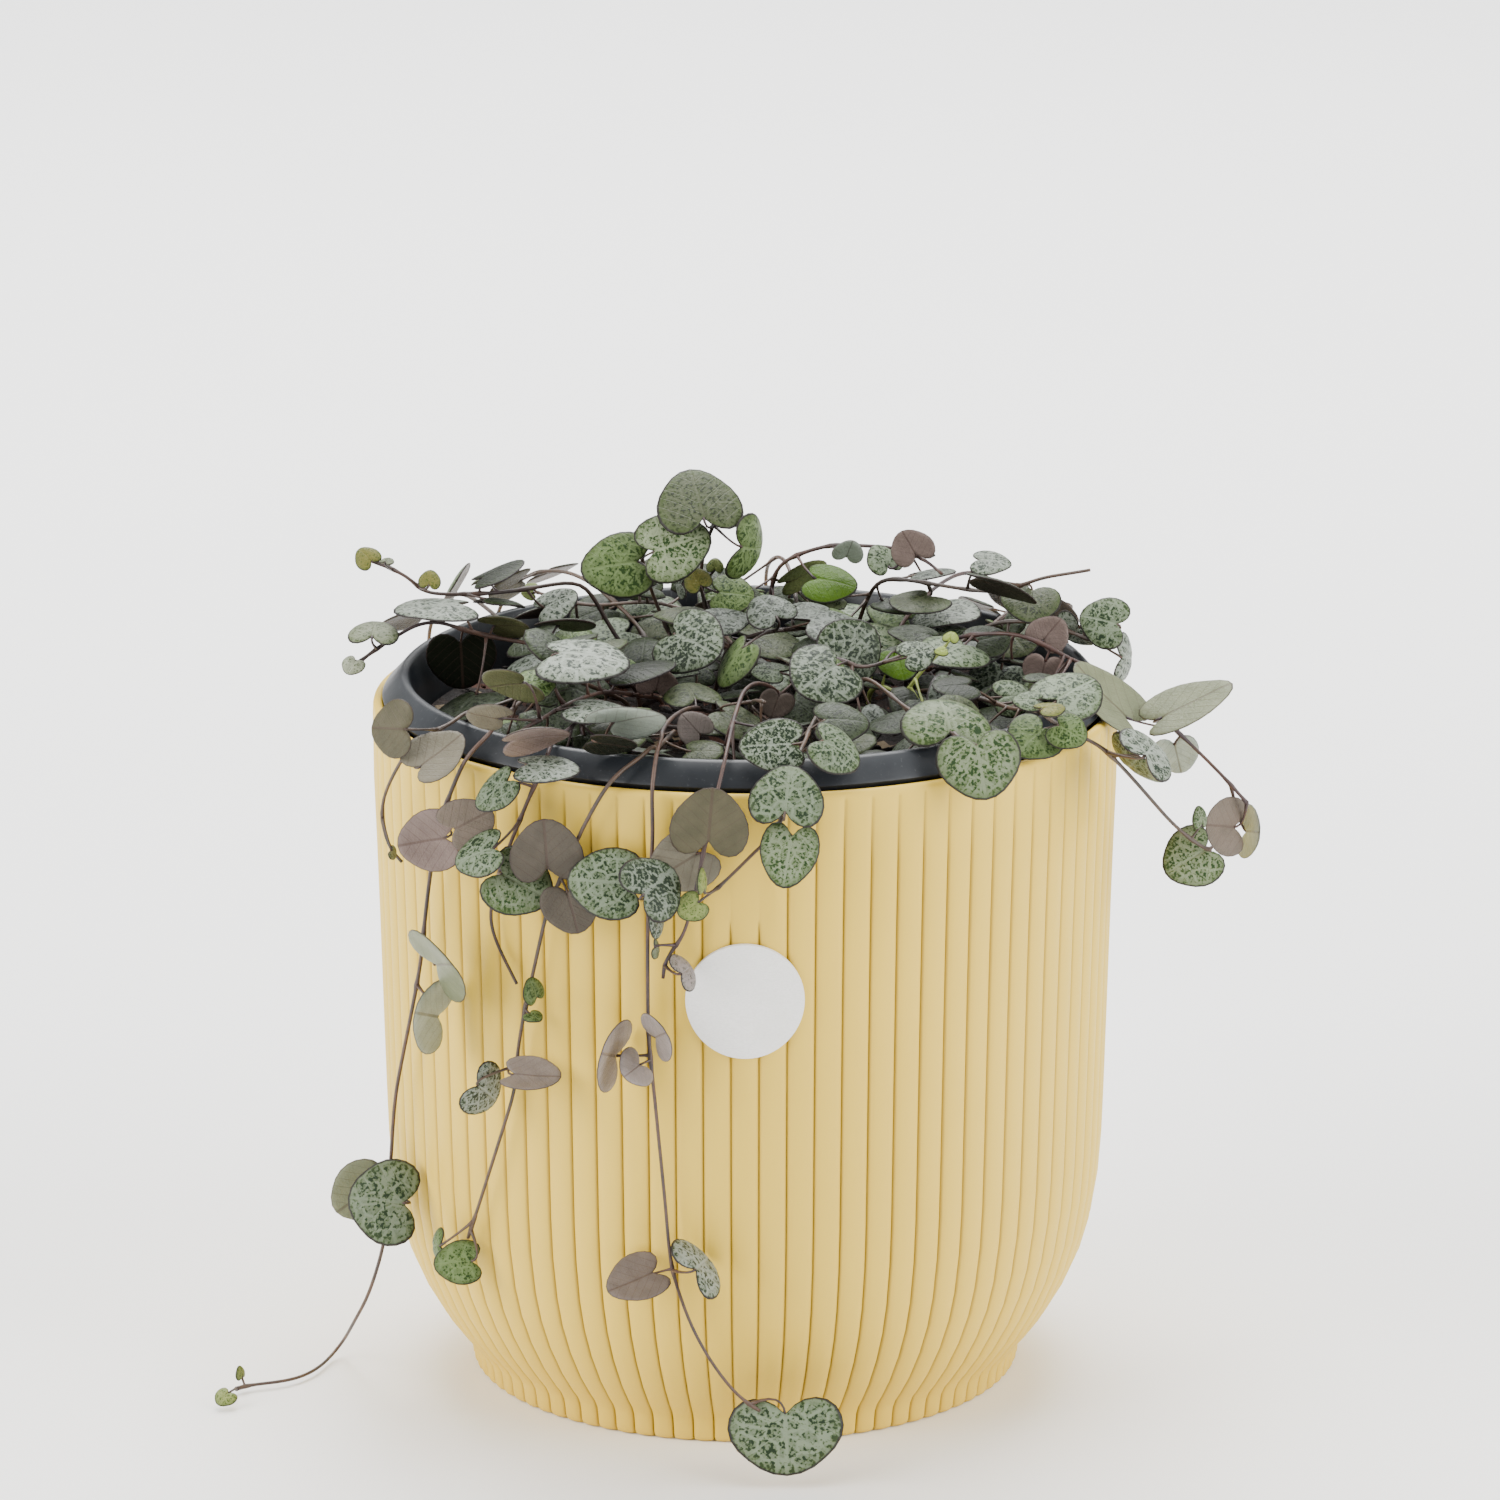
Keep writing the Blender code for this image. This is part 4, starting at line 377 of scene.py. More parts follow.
# Low leaves that hide the soil: the most of them, how often one is tried, their corners and rings, widths in
# mm, heights over the floor, how far they may be from the axis and from their stem, and the collar's foot
FILLERS = 170
FILLER_TRIES = 14000
FILLER_SIDES = 14
FILLER_RINGS = 7
FILLER_WIDTHS = (7.5, 13.5)
FILLER_HEIGHTS = (0.129, 0.147)
FILLER_REACH = 60.0 * MM
FILLER_STALK = 16.0 * MM
COLLAR_FOOT = 127.0 * MM
# The part of the front view where the soil shows
BARE_WINDOW = (420, 535, 590, 735)
# Tones of the low leaves below and above a height: mostly dark, painted shade in the gaps between the leaves,
# darkest lowest down
DEEP_SHADE_TONES = ["dark", "dark", "deep_shade", "deep_shade", "olive"]
FILLER_SHADE_TONES = ["dark", "dark", "olive", "dark", "green"]
LOW_LEAF = 134.0 * MM
TIP_WIDTHS = (3.4 * MM, 2.8 * MM)
STALK_STEPS = 6
STALK_SIDES = 6
STEM_SIDES = 8
NODE_REACH = 1.1 * MM
LEAST_LEAVES = 180
# Bits of straw that lie on the soil at the left, as px, py and how much longer than usual
STRAWS = [(466, 700, 3.0), (474, 708, 1.0), (470, 690, 2.0)]
STRAW_LENGTH = 6.0


def sight(px, py):
    """The direction from the eye through a place in the front view."""
    sheet = VIEW_POINT + RIGHT * (px - VIEW_CENTRE_X) * VIEW_SCALE
    sheet += SKYWARD * (VIEW_CENTRE_Y - py) * VIEW_SCALE
    return (sheet - EYE).normalized()


def seen_back(px, py, back):
    """The point on a line of sight that lies a distance behind the axis."""
    ray = sight(px, py)
    return EYE + ray * ((back * MM - EYE.y) / ray.y)


def seen_round(px, py, radius):
    """The nearer point on a line of sight at a distance from the axis."""
    ray = sight(px, py)
    square = ray.x ** 2 + ray.y ** 2
    half = EYE.x * ray.x + EYE.y * ray.y
    rest = EYE.x ** 2 + EYE.y ** 2 - (radius * MM) ** 2
    root = math.sqrt(max(half ** 2 - square * rest, 0.0))
    return EYE + ray * ((-half - root) / square)


def seen_level(px, py, height):
    """The point on a line of sight at a height over the floor."""
    ray = sight(px, py)
    return EYE + ray * ((height * MM - EYE.z) / ray.z)


def drawn_at(point):
    """The place of a point in the front view, as px and py."""
    share = VIEW_DISTANCE / (EYE - point).dot(TOWARDS)
    sheet = EYE + (point - EYE) * share - VIEW_POINT
    return Vector((VIEW_CENTRE_X + sheet.dot(RIGHT) / VIEW_SCALE,
                   VIEW_CENTRE_Y - sheet.dot(SKYWARD) / VIEW_SCALE))


def route_of(vine):
    """The points of a stem from its root outwards."""
    points = [seen_back(*place) for place in vine.over]
    points += [seen_round(*place) for place in vine.down]
    points += [seen_level(*place) for place in vine.along]
    return points


def smooth_path(points, step):
    """Points a short step apart on a smooth curve through the given ones."""
    ends = [points[0] * 2 - points[1]] + points + [points[-1] * 2 - points[-2]]
    fine = []
    for before, start, stop, after in zip(ends, ends[1:], ends[2:], ends[3:]):
        count = max(2, round((stop - start).length / step))
        for index in range(count):
            t = index / count
            bend = (stop - before) * t + (before * 2 - start * 5 + stop * 4 - after) * t ** 2
            bend += (start * 3 - before - stop * 3 + after) * t ** 3
            fine.append(start + bend * 0.5)
    return fine + [points[-1]]


def straighten(path, slack):
    """Leave out the points that a stem's run can do without."""
    if len(path) < 3:
        return path
    run = path[-1] - path[0]
    off = []
    for point in path[1:-1]:
        share = min(max((point - path[0]).dot(run) / run.length_squared, 0.0), 1.0)
        off.append((point - path[0] - run * share).length)
    worst = max(range(len(off)), key=off.__getitem__)
    if off[worst] < slack:
        return [path[0], path[-1]]
    return straighten(path[:worst + 2], slack)[:-1] + straighten(path[worst + 1:], slack)


def profile_radius(profile, height):
    """The second value of a profile at a first value, between its points."""
    level = height / MM
    for (low, inner), (high, outer) in zip(profile, profile[1:]):
        if low <= level <= high:
            return (inner + (outer - inner) * (level - low) / (high - low)) * MM
    return profile[-1][1] * MM


def off_the_pots(point, radius):
    """Move a stem's point clear of the soil, the collar, the rim and the pot's wall."""
    reach = point.xy.length
    level = max(point.z, radius + 0.4 * MM)
    if reach < OVER_POTS[-1][0] * MM and level > 118 * MM:
        ground = profile_radius(OVER_POTS, reach) + radius
        return Vector((point.x, point.y, max(level, ground)))
    need = profile_radius(POT_SIDE, min(level, 129 * MM)) + radius + 0.8 * MM
    if reach < need and level < 130.4 * MM + 2 * radius:
        return Vector((point.x * need / reach, point.y * need / reach, level))
    return Vector((point.x, point.y, level))


def nearest_on(path, point):
    """The point of a run nearest to a given one."""
    best = None
    for a, b in zip(path, path[1:]):
        run = b - a
        share = min(max((point - a).dot(run) / run.length_squared, 0.0), 1.0)
        spot = a + run * share
        if best is None or (spot - point).length < (best - point).length:
            best = spot
    return best


def passes_near(path, other):
    """Whether two stems' boxes come near each other."""
    for axis in range(3):
        if min(point[axis] for point in path) > max(point[axis] for point in other) + REACH:
            return False
        if max(point[axis] for point in path) < min(point[axis] for point in other) - REACH:
            return False
    return True


def settle(path, others):
    """Bend a stem clear of the pots and of the stems that are already there."""
    path = [path[0]] + [off_the_pots(point, STEM_RADIUS) for point in path[1:]]
    for _ in range(SETTLE_ROUNDS):
        for index in range(1, len(path)):
            for other in others:
                spot = nearest_on(other, path[index])
                gap = path[index] - spot
                if gap.length < STEM_CLEARANCE:
                    away = gap.normalized() if gap.length > SAME_PLACE else Vector((0, 0, 1))
                    path[index] = path[index] + away * (STEM_CLEARANCE - gap.length)
            path[index] = off_the_pots(path[index], STEM_RADIUS)
    return path


def spread_roots(points):
    """Move the places where stems leave the soil apart."""
    roots = []
    for point in points:
        root = Vector((point.x, point.y, SOIL_LEVEL))
        for _ in range(SPREAD_ROUNDS):
            for other in roots:
                gap = (root - other).to_2d()
                if gap.length < ROOT_SPACING:
                    away = gap.normalized() if gap.length > SAME_PLACE else Vector((1, 0))
                    root += Vector((away.x, away.y, 0)) * (ROOT_SPACING - gap.length)
        roots.append(root)
    return roots


def stem_paths():
    """The names and smooth runs of all stems, as the solids have them."""
    routes = [(vine.name, route_of(vine)) for vine in VINES]
    routes += [(name, [Vector(place) * MM for place in places]) for name, places in HIDDEN_VINES]
    roots = spread_roots([route[0] for name, route in routes])
    solid, fine = [], {}
    for (name, route), root in zip(routes, roots):
        top = root + Vector((0, 0, 2.5 * MM))
        path = smooth_path([top] + route[1:], FINE_STEP)
        path = settle(path, [other for other in solid if passes_near(path, other)])
        foot = root - Vector((0, 0, ROOT_DEPTH - 0.6 * MM))
        solid.append([foot] + straighten(path, STEM_SLACK))
        fine[name] = [foot] + path
    return fine


def wire(tree, node, wires):
    """Set or link a node's inputs by name or place."""
    for key, value in wires.items():
        if isinstance(value, bpy.types.NodeSocket):
            tree.links.new(value, node.inputs[key])
        else:
            node.inputs[key].default_value = value


def put(tree, kind, wires=None, **settings):
    """Add a node with its settings and inputs."""
    node = tree.nodes.new(kind)
    for name, value in settings.items():
        setattr(node, name, value)
    wire(tree, node, wires or {})
    return node


def blend_colours(tree, share, first, second):
    """Mix two colours by a share."""
    node = put(tree, "ShaderNodeMix", data_type="RGBA")
    wires = {0: share}
    for place, value in ((6, first), (7, second)):
        wires[place] = value if isinstance(value, bpy.types.NodeSocket) else (*value, 1.0)
    wire(tree, node, wires)
    return node.outputs[2]


def reckon(tree, operation, *values):
    """One sum on numbers."""
    return put(tree, "ShaderNodeMath", dict(enumerate(values)), operation=operation).outputs[0]


def times(tree, first, second):
    """Two numbers multiplied."""
    return reckon(tree, "MULTIPLY", first, second)


def spread(tree, value, low, high, first=0.0, second=1.0):
    """A value's range carried smoothly over to another."""
    wires = {0: value, 1: low, 2: high, 3: first, 4: second}
    return put(tree, "ShaderNodeMapRange", wires, interpolation_type="SMOOTHSTEP").outputs[0]


def laid_over(tree, value, low, high, base, over, most=1.0):
    """A base colour with another over it where a value is high."""
    return blend_colours(tree, spread(tree, value, low, high, 0.0, most), base, over)


def clouds(tree, where, scale, detail, roughness=0.55):
    """A cloudy pattern."""
    wires = {"Vector": where, "Scale": scale, "Detail": detail, "Roughness": roughness}
    return put(tree, "ShaderNodeTexNoise", wires).outputs["Fac"]


def scaled(tree, where, factors):
    """A place or a colour with each of its three parts scaled."""
    wires = {"Vector": where, "Scale": factors}
    return put(tree, "ShaderNodeMapping", wires, vector_type="POINT").outputs[0]


def bumped(tree, height, strength, distance):
    """Relief from a height."""
    wires = {"Height": height, "Strength": strength, "Distance": distance}
    return put(tree, "ShaderNodeBump", wires).outputs[0]


def mesh_value(tree, name, output="Vector"):
    """A named value of the mesh."""
    return put(tree, "ShaderNodeAttribute", attribute_name=name).outputs[output]


def parts_of(tree, vector):
    """The three numbers of a vector."""
    return put(tree, "ShaderNodeSeparateXYZ", {0: vector}).outputs


def object_place(tree):
    """The place on the object, in metres."""
    return put(tree, "ShaderNodeTexCoord").outputs["Object"]


def open_material(name):
    """A new Principled material, its tree and its shader."""
    material = bpy.data.materials.new(name)
    material.use_nodes = True
    tree = material.node_tree
    return material, tree, tree.nodes["Principled BSDF"]


def leaf_veins(tree, across, ahead):
    """A midrib and pairs of rising side veins, as a share."""
    off = reckon(tree, "ABSOLUTE", across)
    midrib = spread(tree, off, 0.010, 0.028, 1.0, 0.0)
    rise = reckon(tree, "MULTIPLY_ADD", off, -SIDE_VEIN_SLOPE, ahead)
    step = reckon(tree, "FRACT", times(tree, rise, SIDE_VEINS))
    from_line = reckon(tree, "ABSOLUTE", reckon(tree, "SUBTRACT", step, 0.5))
    return reckon(tree, "MAXIMUM", midrib, spread(tree, from_line, 0.0, 0.09, 0.55, 0.0))


def heart_material():
    """Silver marbling with dark specks in green patches above, plain colour with veins below."""
    material, tree, shader = open_material("heart_leaf")
    place = mesh_value(tree, "leaf_place")
    across, ahead, rim = parts_of(tree, mesh_value(tree, "leaf_share"))
    side, specks, flush = parts_of(tree, mesh_value(tree, "leaf_look"))
    upper = mesh_value(tree, "upper_colour", "Color")
    speck = mesh_value(tree, "speck_colour", "Color")
    under = mesh_value(tree, "under_colour", "Color")
    vein = leaf_veins(tree, across, ahead)
    fine = clouds(tree, place, 1.90, 2.0)
    broad = clouds(tree, place, 0.32, 2.0, 0.5)
    grain = clouds(tree, place, 6.5, 2.0, 0.6)
    cells = put(tree, "ShaderNodeTexVoronoi", {"Vector": place, "Scale": 0.42}, feature="DISTANCE_TO_EDGE")
    net = spread(tree, cells.outputs["Distance"], 0.03, 0.13, 1.0, 0.0)
    level = fine
    for value, weight in ((broad, 0.30), (specks, 0.22), (vein, -0.14), (net, -0.11)):
        level = reckon(tree, "MULTIPLY_ADD", value, weight, level)
    patch = spread(tree, level, 0.71, 0.80)
    ridge = times(tree, reckon(tree, "MAXIMUM", vein, net), times(tree, specks, 1.1))
    top = laid_over(tree, grain, 0.35, 0.7, upper, speck, 0.22)
    top = blend_colours(tree, ridge, top, scaled(tree, upper, RIDGE_GAIN))
    top = blend_colours(tree, times(tree, patch, 0.30), top, speck)
    top = blend_colours(tree, times(tree, times(tree, patch, flush), 0.75), top, PATCH_GREEN)
    top = laid_over(tree, level, 0.800, 0.830, top, speck)
    top = blend_colours(tree, times(tree, spread(tree, rim, 0.70, 0.97, 0.0, 0.7), flush), top, MARGIN_GREEN)
    top = laid_over(tree, rim, 0.930, 0.970, top, EDGE_DARK, 0.92)
    below = laid_over(tree, broad, 0.3, 0.7, under, speck, 0.25)
    below = laid_over(tree, grain, 0.4, 0.75, below, speck, 0.18)
    below = blend_colours(tree, times(tree, vein, 0.45), below, VEIN_BROWN)
    below = laid_over(tree, rim, 0.955, 0.99, below, UNDER_EDGE, 0.7)
    relief = reckon(tree, "MULTIPLY_ADD", vein, -0.6, fine)
    wire(tree, shader, {"Base Color": laid_over(tree, side, 0.35, 0.65, below, top),
                        "Roughness": spread(tree, grain, 0.3, 0.7, 0.36, 0.54),
                        "Normal": bumped(tree, relief, 0.45, 0.0003), "Specular IOR Level": 0.16})
    return material


def stem_material():
    """Dark purple-brown skin, green on the young shoot, with fine streaks."""
    material, tree, shader = open_material("stem_skin")
    where = object_place(tree)
    young = parts_of(tree, mesh_value(tree, "leaf_look"))[2]
    streak = clouds(tree, where, 900.0, 2.0)
    cloud = clouds(tree, where, 90.0, 3.0)
    skin = laid_over(tree, cloud, 0.35, 0.65, (0.030, 0.015, 0.020), (0.078, 0.036, 0.026))
    skin = laid_over(tree, streak, 0.4, 0.7, skin, (0.017, 0.010, 0.013), 0.5)
    skin = blend_colours(tree, young, skin, (0.240, 0.290, 0.070))
    wire(tree, shader, {"Base Color": skin, "Roughness": 0.5, "Normal": bumped(tree, streak, 0.3, 0.0002)})
    return material


def cover_material(colour):
    """Matte butter-yellow plastic, with painted shade darkening its grooves."""
    material, tree, shader = open_material("butter_plastic")
    where = object_place(tree)
    depth = mesh_value(tree, "groove_depth", "Fac")
    grain = clouds(tree, where, 2600.0, 2.0)
    cloudy, shaded = ([part * share for part in colour] for share in COVER_CLOUD_AND_GROOVE_SHADE)
    tint = laid_over(tree, clouds(tree, where, 18.0, 3.0), 0.3, 0.7, colour, cloudy, 0.5)
    # Painted shade: the colour darkens with the groove's depth, standing in for the shade that falls in the
    # grooves
    tint = blend_colours(tree, times(tree, depth, 0.75), tint, shaded)
    wire(tree, shader, {"Base Color": tint, "Roughness": spread(tree, grain, 0.3, 0.7, 0.46, 0.60),
                        "Normal": bumped(tree, grain, 0.10, 0.00008), "Specular IOR Level": 0.35})
    return material


def grower_material():
    """Thin charcoal plastic with faint scuffs."""
    material, tree, shader = open_material("charcoal_plastic")
    where = object_place(tree)
    cloud = clouds(tree, where, 45.0, 4.0)
    scuffs = clouds(tree, scaled(tree, where, (1.0, 1.0, 0.25)), 1500.0, 2.0)
    tint = laid_over(tree, cloud, 0.35, 0.7, (0.009, 0.011, 0.014), (0.021, 0.024, 0.028))
    tint = laid_over(tree, scuffs, 0.62, 0.78, tint, (0.060, 0.064, 0.068), 0.5)
    wire(tree, shader, {"Base Color": tint, "Roughness": spread(tree, cloud, 0.3, 0.7, 0.30, 0.46),
                        "Normal": bumped(tree, scuffs, 0.12, 0.0001), "Specular IOR Level": 0.36})
    return material


def soil_material():
    """Dark potting mix with red-brown bark and pale bits."""
    material, tree, shader = open_material("potting_mix")
    where = object_place(tree)
    grain = clouds(tree, where, 700.0, 3.0, 0.7)
    cells = put(tree, "ShaderNodeTexVoronoi", {"Vector": where, "Scale": 420.0}).outputs["Color"]
    bits = put(tree, "ShaderNodeSeparateColor", {0: cells}).outputs[0]
    cloud = clouds(tree, where, 120.0, 4.0, 0.65)
    tint = laid_over(tree, cloud, 0.35, 0.65, (0.006, 0.004, 0.003), (0.026, 0.013, 0.008))
    tint = laid_over(tree, bits, 0.78, 0.84, tint, (0.075, 0.028, 0.015))
    tint = laid_over(tree, bits, 0.955, 0.965, tint, (0.20, 0.15, 0.09))
    wire(tree, shader, {"Base Color": tint, "Roughness": 0.92, "Normal": bumped(tree, grain, 0.9, 0.0008)})
    return material


def label_material():
    """Smooth off-white paper with a faint fibre."""
    material, tree, shader = open_material("plain_paper")
    where = object_place(tree)
    fibre = clouds(tree, scaled(tree, where, (1.0, 1.0, 2.2)), 1900.0, 3.0)
    tint = laid_over(tree, fibre, 0.3, 0.7, (0.76, 0.75, 0.72), (0.84, 0.83, 0.80))
    tint = laid_over(tree, clouds(tree, where, 140.0, 2.0), 0.4, 0.7, tint, (0.74, 0.73, 0.68), 0.4)
    wire(tree, shader, {"Base Color": tint, "Roughness": 0.55, "Normal": bumped(tree, fibre, 0.12, 0.00006)})
    return material


def floor_material(colour):
    """A pale matte floor with the faintest unevenness."""
    material, tree, shader = open_material("pale_floor")
    cloud = clouds(tree, object_place(tree), 3.0, 2.0)
    tint = laid_over(tree, cloud, 0.3, 0.7, colour, [part * FLOOR_SHADE for part in colour])
    wire(tree, shader, {"Base Color": tint, "Roughness": 0.8})
    return material


def add_object(bm, name, materials):
    """A new object in the scene from a finished mesh."""
    mesh = bpy.data.meshes.new(name)
    bm.to_mesh(mesh)
    bm.free()
    for material in materials:
        mesh.materials.append(material)
    made = bpy.data.objects.new(name, mesh)
    bpy.context.scene.collection.objects.link(made)
    return made


def show(bm, name, materials, slot, *nodes, crease=None):
    """Finish a mesh as a smooth piece that stands for CAD nodes, sharp at edges past an angle in degrees."""
    piece = add_object(bm, name, materials)
    piece.data.shade_smooth()
    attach(piece, "root")
    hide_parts(*nodes)
    if crease:
        piece.data.set_sharp_from_angle(angle=math.radians(crease))


def ring_of(bm, count, radius, height):
    """A closed loop of vertices round the axis."""
    up = Matrix.Translation((0, 0, height))
    return bmesh.ops.create_circle(bm, segments=count, radius=radius, matrix=up)["verts"]


def ring_edges(verts):
    """The edges that run along a loop of vertices."""
    loop = set(verts)
    return [edge for edge in {e for v in verts for e in v.link_edges} if set(edge.verts) <= loop]


def raise_ring(bm, verts, radius, height):
    """Extrude a loop to a new radius and height and return the new loop."""
    made = bmesh.ops.extrude_edge_only(bm, edges=ring_edges(verts))
    fresh = [item for item in made["geom"] if isinstance(item, bmesh.types.BMVert)]
    for vert in fresh:
        flat = Vector((vert.co.x, vert.co.y, 0.0)).normalized() * radius
        vert.co = Vector((flat.x, flat.y, height))
    return fresh


def groove_fade(height, from_front):
    """How deep the grooves are at a height and an angle from the front, as a share."""
    fade = min(max((RIM_BAND - height) / RIM_FADE, 0.0), 1.0)
    if abs(from_front) < PANEL_HALF:
        fade *= min(max((PANEL_BOTTOM - height) / PANEL_FADE, 0.0), 1.0)
    return fade


def shape_ribs(loops, count, depth, layer):
    """Set each vertex of the outside loops on its place across a rib."""
    pitch = 2 * math.pi / count
    for height, loop in loops:
        for vert in loop:
            radius = vert.co.xy.length
            step = round(math.atan2(vert.co.y, vert.co.x) / (pitch / len(RIB_SHAPE)))
            part = (step - len(RIB_SHAPE) // 2) % len(RIB_SHAPE)
            place, sunk = RIB_SHAPE[part]
            angle = (step - part) * pitch / len(RIB_SHAPE) + place * pitch
            from_front = (math.degrees(angle) + 90 + 180) % 360 - 180
            sunk *= groove_fade(height, from_front)
            radius -= sunk * depth
            vert.co.x = radius * math.cos(angle)
            vert.co.y = radius * math.sin(angle)
            # The groove's depth share, which the cover's colour reads to paint shade into the grooves
            vert[layer] = max(sunk, 0.0)


def turned(profile, segments):
    """A bmesh turned from a run of radius and height points that starts and ends at the axis."""
    bm = bmesh.new()
    verts = [bm.verts.new((radius * MM, 0.0, height * MM)) for radius, height in profile]
    edges = [bm.edges.new(pair) for pair in zip(verts, verts[1:])]
    bmesh.ops.spin(bm, geom=verts + edges, cent=(0, 0, 0), axis=(0, 0, 1), dvec=(0, 0, 0),
                   angle=2 * math.pi, steps=segments, use_merge=True, use_duplicate=False)
    bmesh.ops.remove_doubles(bm, verts=bm.verts, dist=0.00001)
    bmesh.ops.recalc_face_normals(bm, faces=bm.faces)
    return bm


def soil_height(x, y):
    """The lumpy top of the soil."""
    wave = math.sin(x * 330 + 1.3) * math.cos(y * 290 - 0.7) + 0.6 * math.sin(x * 610 - y * 540)
    rough = lumps.noise(Vector((x, y, 0.3)) * 180) + 0.5 * lumps.noise(Vector((x, y, 0.7)) * 520)
    return SOIL_LEVEL + (0.78 * wave + 0.9 * rough) * MM


def add_crumb(bm, draw, spot, size, stretch):
    """A small lump of the mix, turned at random and pressed into the soil."""
    made = bmesh.ops.create_icosphere(bm, subdivisions=1, radius=size)["verts"]
    seed = Vector([draw.uniform(0, 50) for _ in range(3)])
    for vert in made:
        vert.co *= 1 + 0.45 * lumps.noise(vert.co / size + seed)
    flat = Matrix.Diagonal((stretch, 1.0, draw.uniform(0.45, 0.8), 1.0))
    turn = Matrix.Rotation(draw.uniform(0, 6.28), 4, "Z") @ Matrix.Rotation(draw.uniform(-0.4, 0.4), 4, "X")
    bmesh.ops.transform(bm, matrix=Matrix.Translation(spot) @ turn @ flat, verts=made)


def axes_at(origin, across, ahead, up):
    """A frame with its origin and its three directions."""
    return Matrix.Translation(origin) @ Matrix((across, ahead, up)).transposed().to_4x4()


def half_thickness(width):
    """Half the thickness of a leaf of a width."""
    return (LEAF_THICKNESS + LEAF_GAIN * width) / 2


def blade_height(x, y, width):
    """How far a leaf droops at a place, lowest at its lobes, sides and tip."""
    return -(0.30 * x * x + 0.22 * (y - 0.20 * width) ** 2) / width


def fan_of(vert):
    """A vertex whose faces lie nearly flat, with their mean direction and outer edges, or nothing."""
    faces = vert.link_faces
    if len(faces) < FAN_FACES:
        return None
    mean = sum((face.normal * face.calc_area() for face in faces), Vector()).normalized()
    if min(face.normal.dot(mean) for face in faces) < FAN_FLATNESS:
        return None
    rim = [[other for other in face.verts if other != vert] for face in faces]
    return vert, mean, rim


def leaf_frame(fan, rim_pair, width, long):
    """The frame of a leaf at its notch, from its middle, its upward direction and its notch's edge."""
    centre, mean, _ = fan
    one, other = (vert.co for vert in rim_pair)
    across = (other - one).normalized()
    along = (centre.co - (one + other) / 2).normalized()
    if across.cross(along).dot(mean) < 0:
        across = -across
    up = across.cross(along).normalized()
    notch_height = blade_height(NOTCH_HALF * width, 0, width)
    rise = blade_height(0, HEART_MIDDLE * width * long, width) - notch_height
    slope = math.atan2(rise, HEART_MIDDLE * width * long)
    ahead = along * math.cos(slope) - up * math.sin(slope)
    facing = along * math.sin(slope) + up * math.cos(slope)
    origin = (one + other) / 2 - facing * (notch_height + half_thickness(width))
    return axes_at(origin, ahead.cross(facing), ahead, facing)


def misfit(frame_at, width, long, half, rim):
    """How far a heart's corners lie from the nearest rim corners."""
    corners = {vert for pair in rim for vert in pair}
    lift = half_thickness(width)
    total = 0.0
    for across, ahead in half + [(0.0, HEART_TIP)]:
        for side in (1, -1):
            x, y = across * width * side, ahead * width * long
            spot = frame_at @ Vector((x, y, blade_height(x, y, width) + lift))
            total += min((vert.co - spot).length for vert in corners)
    return total / width / (len(half) + 1)


def fitted_leaf(fan):
    """The best fit of a plain leaf to a fan of faces, or nothing."""
    centre, _, rim = fan
    best = None
    for pair in rim:
        width = (pair[0].co - pair[1].co).length / (2 * NOTCH_HALF)
        reach = (centre.co - (pair[0].co + pair[1].co) / 2).length
        long = reach / HEART_MIDDLE / width
        if not LEAST_LONG < long < MOST_LONG:
            continue
        place = leaf_frame(fan, pair, width, long)
        for half in (HEART_HALF, PLAIN_HALF):
            miss = misfit(place, width, long, half, rim)
            if best is None or miss < best.miss:
                best = Fit(miss, place, width, long, pair)
    return best


def stalk_run(fit, rim, lower, path):
    """The root of a leaf's stalk on its stem, and the bend on the way where it has one."""
    notch = fit.place.translation
    known = {vert for edge in rim for vert in edge} | lower
    near = 0.16 * fit.width + 0.6 * MM
    start = set(fit.pair) | {vert for vert in lower if (vert.co - notch).length < near}
    first = {edge.other_vert(vert) for vert in start for edge in vert.link_edges} - known
    if not first:
        return nearest_on(path, notch), None
    middle = sum((vert.co for vert in first), Vector()) / len(first)
    spot = nearest_on(path, middle)
    if (spot - middle).length < 1.5 * MM:
        return spot, None
    second = {edge.other_vert(vert) for vert in first for edge in vert.link_edges} - known - first
    if not second:
        return spot, middle
    end = sum((vert.co for vert in second), Vector()) / len(second)
    return nearest_on(path, end), middle


def solid_leaves(node, path):
    """Every leaf of a stem's solid."""
    bm = bmesh.new()
    bm.from_mesh(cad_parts[node].data)
    bmesh.ops.remove_doubles(bm, verts=bm.verts, dist=1e-6)
    fans = [fan for fan in map(fan_of, bm.verts) if fan]
    leaves = []
    for fan in fans:
        centre, mean, rim = fan
        droop = sum((vert.co - centre.co).dot(mean) for edge in rim for vert in edge)
        mates = [other for other in fans
                 if (other[0].co - centre.co).length < FAN_GAP and other[1].dot(mean) < -0.5]
        if droop > 0 or not mates:
            continue
        fit = fitted_leaf(fan)
        if fit is None or fit.miss > MOST_MISFIT:
            continue
        lower = {vert for edge in mates[0][2] for vert in edge} | {mates[0][0], centre}
        leaves.append(Leaf(fit.place.copy(), fit.width, fit.long, *stalk_run(fit, rim, lower, path)))
    bm.free()
    return leaves


def leaf_middle(leaf):
    """The middle of a leaf."""
    return leaf.place @ Vector((0, HEART_MIDDLE * leaf.width * leaf.long, 0))


def tone_of(middle, draw):
    """The tone that the front view shows at a leaf, or one of the common ones."""
    place = drawn_at(middle)
    reach = TONE_REACH
    tone = draw.choice(COMMON_TONES)
    for name, spots in TONE_SPOTS.items():
        for spot in spots:
            far = (place - Vector(spot)).length
            if far < reach and middle.y < TONE_BACK:
                reach, tone = far, name
    return tone


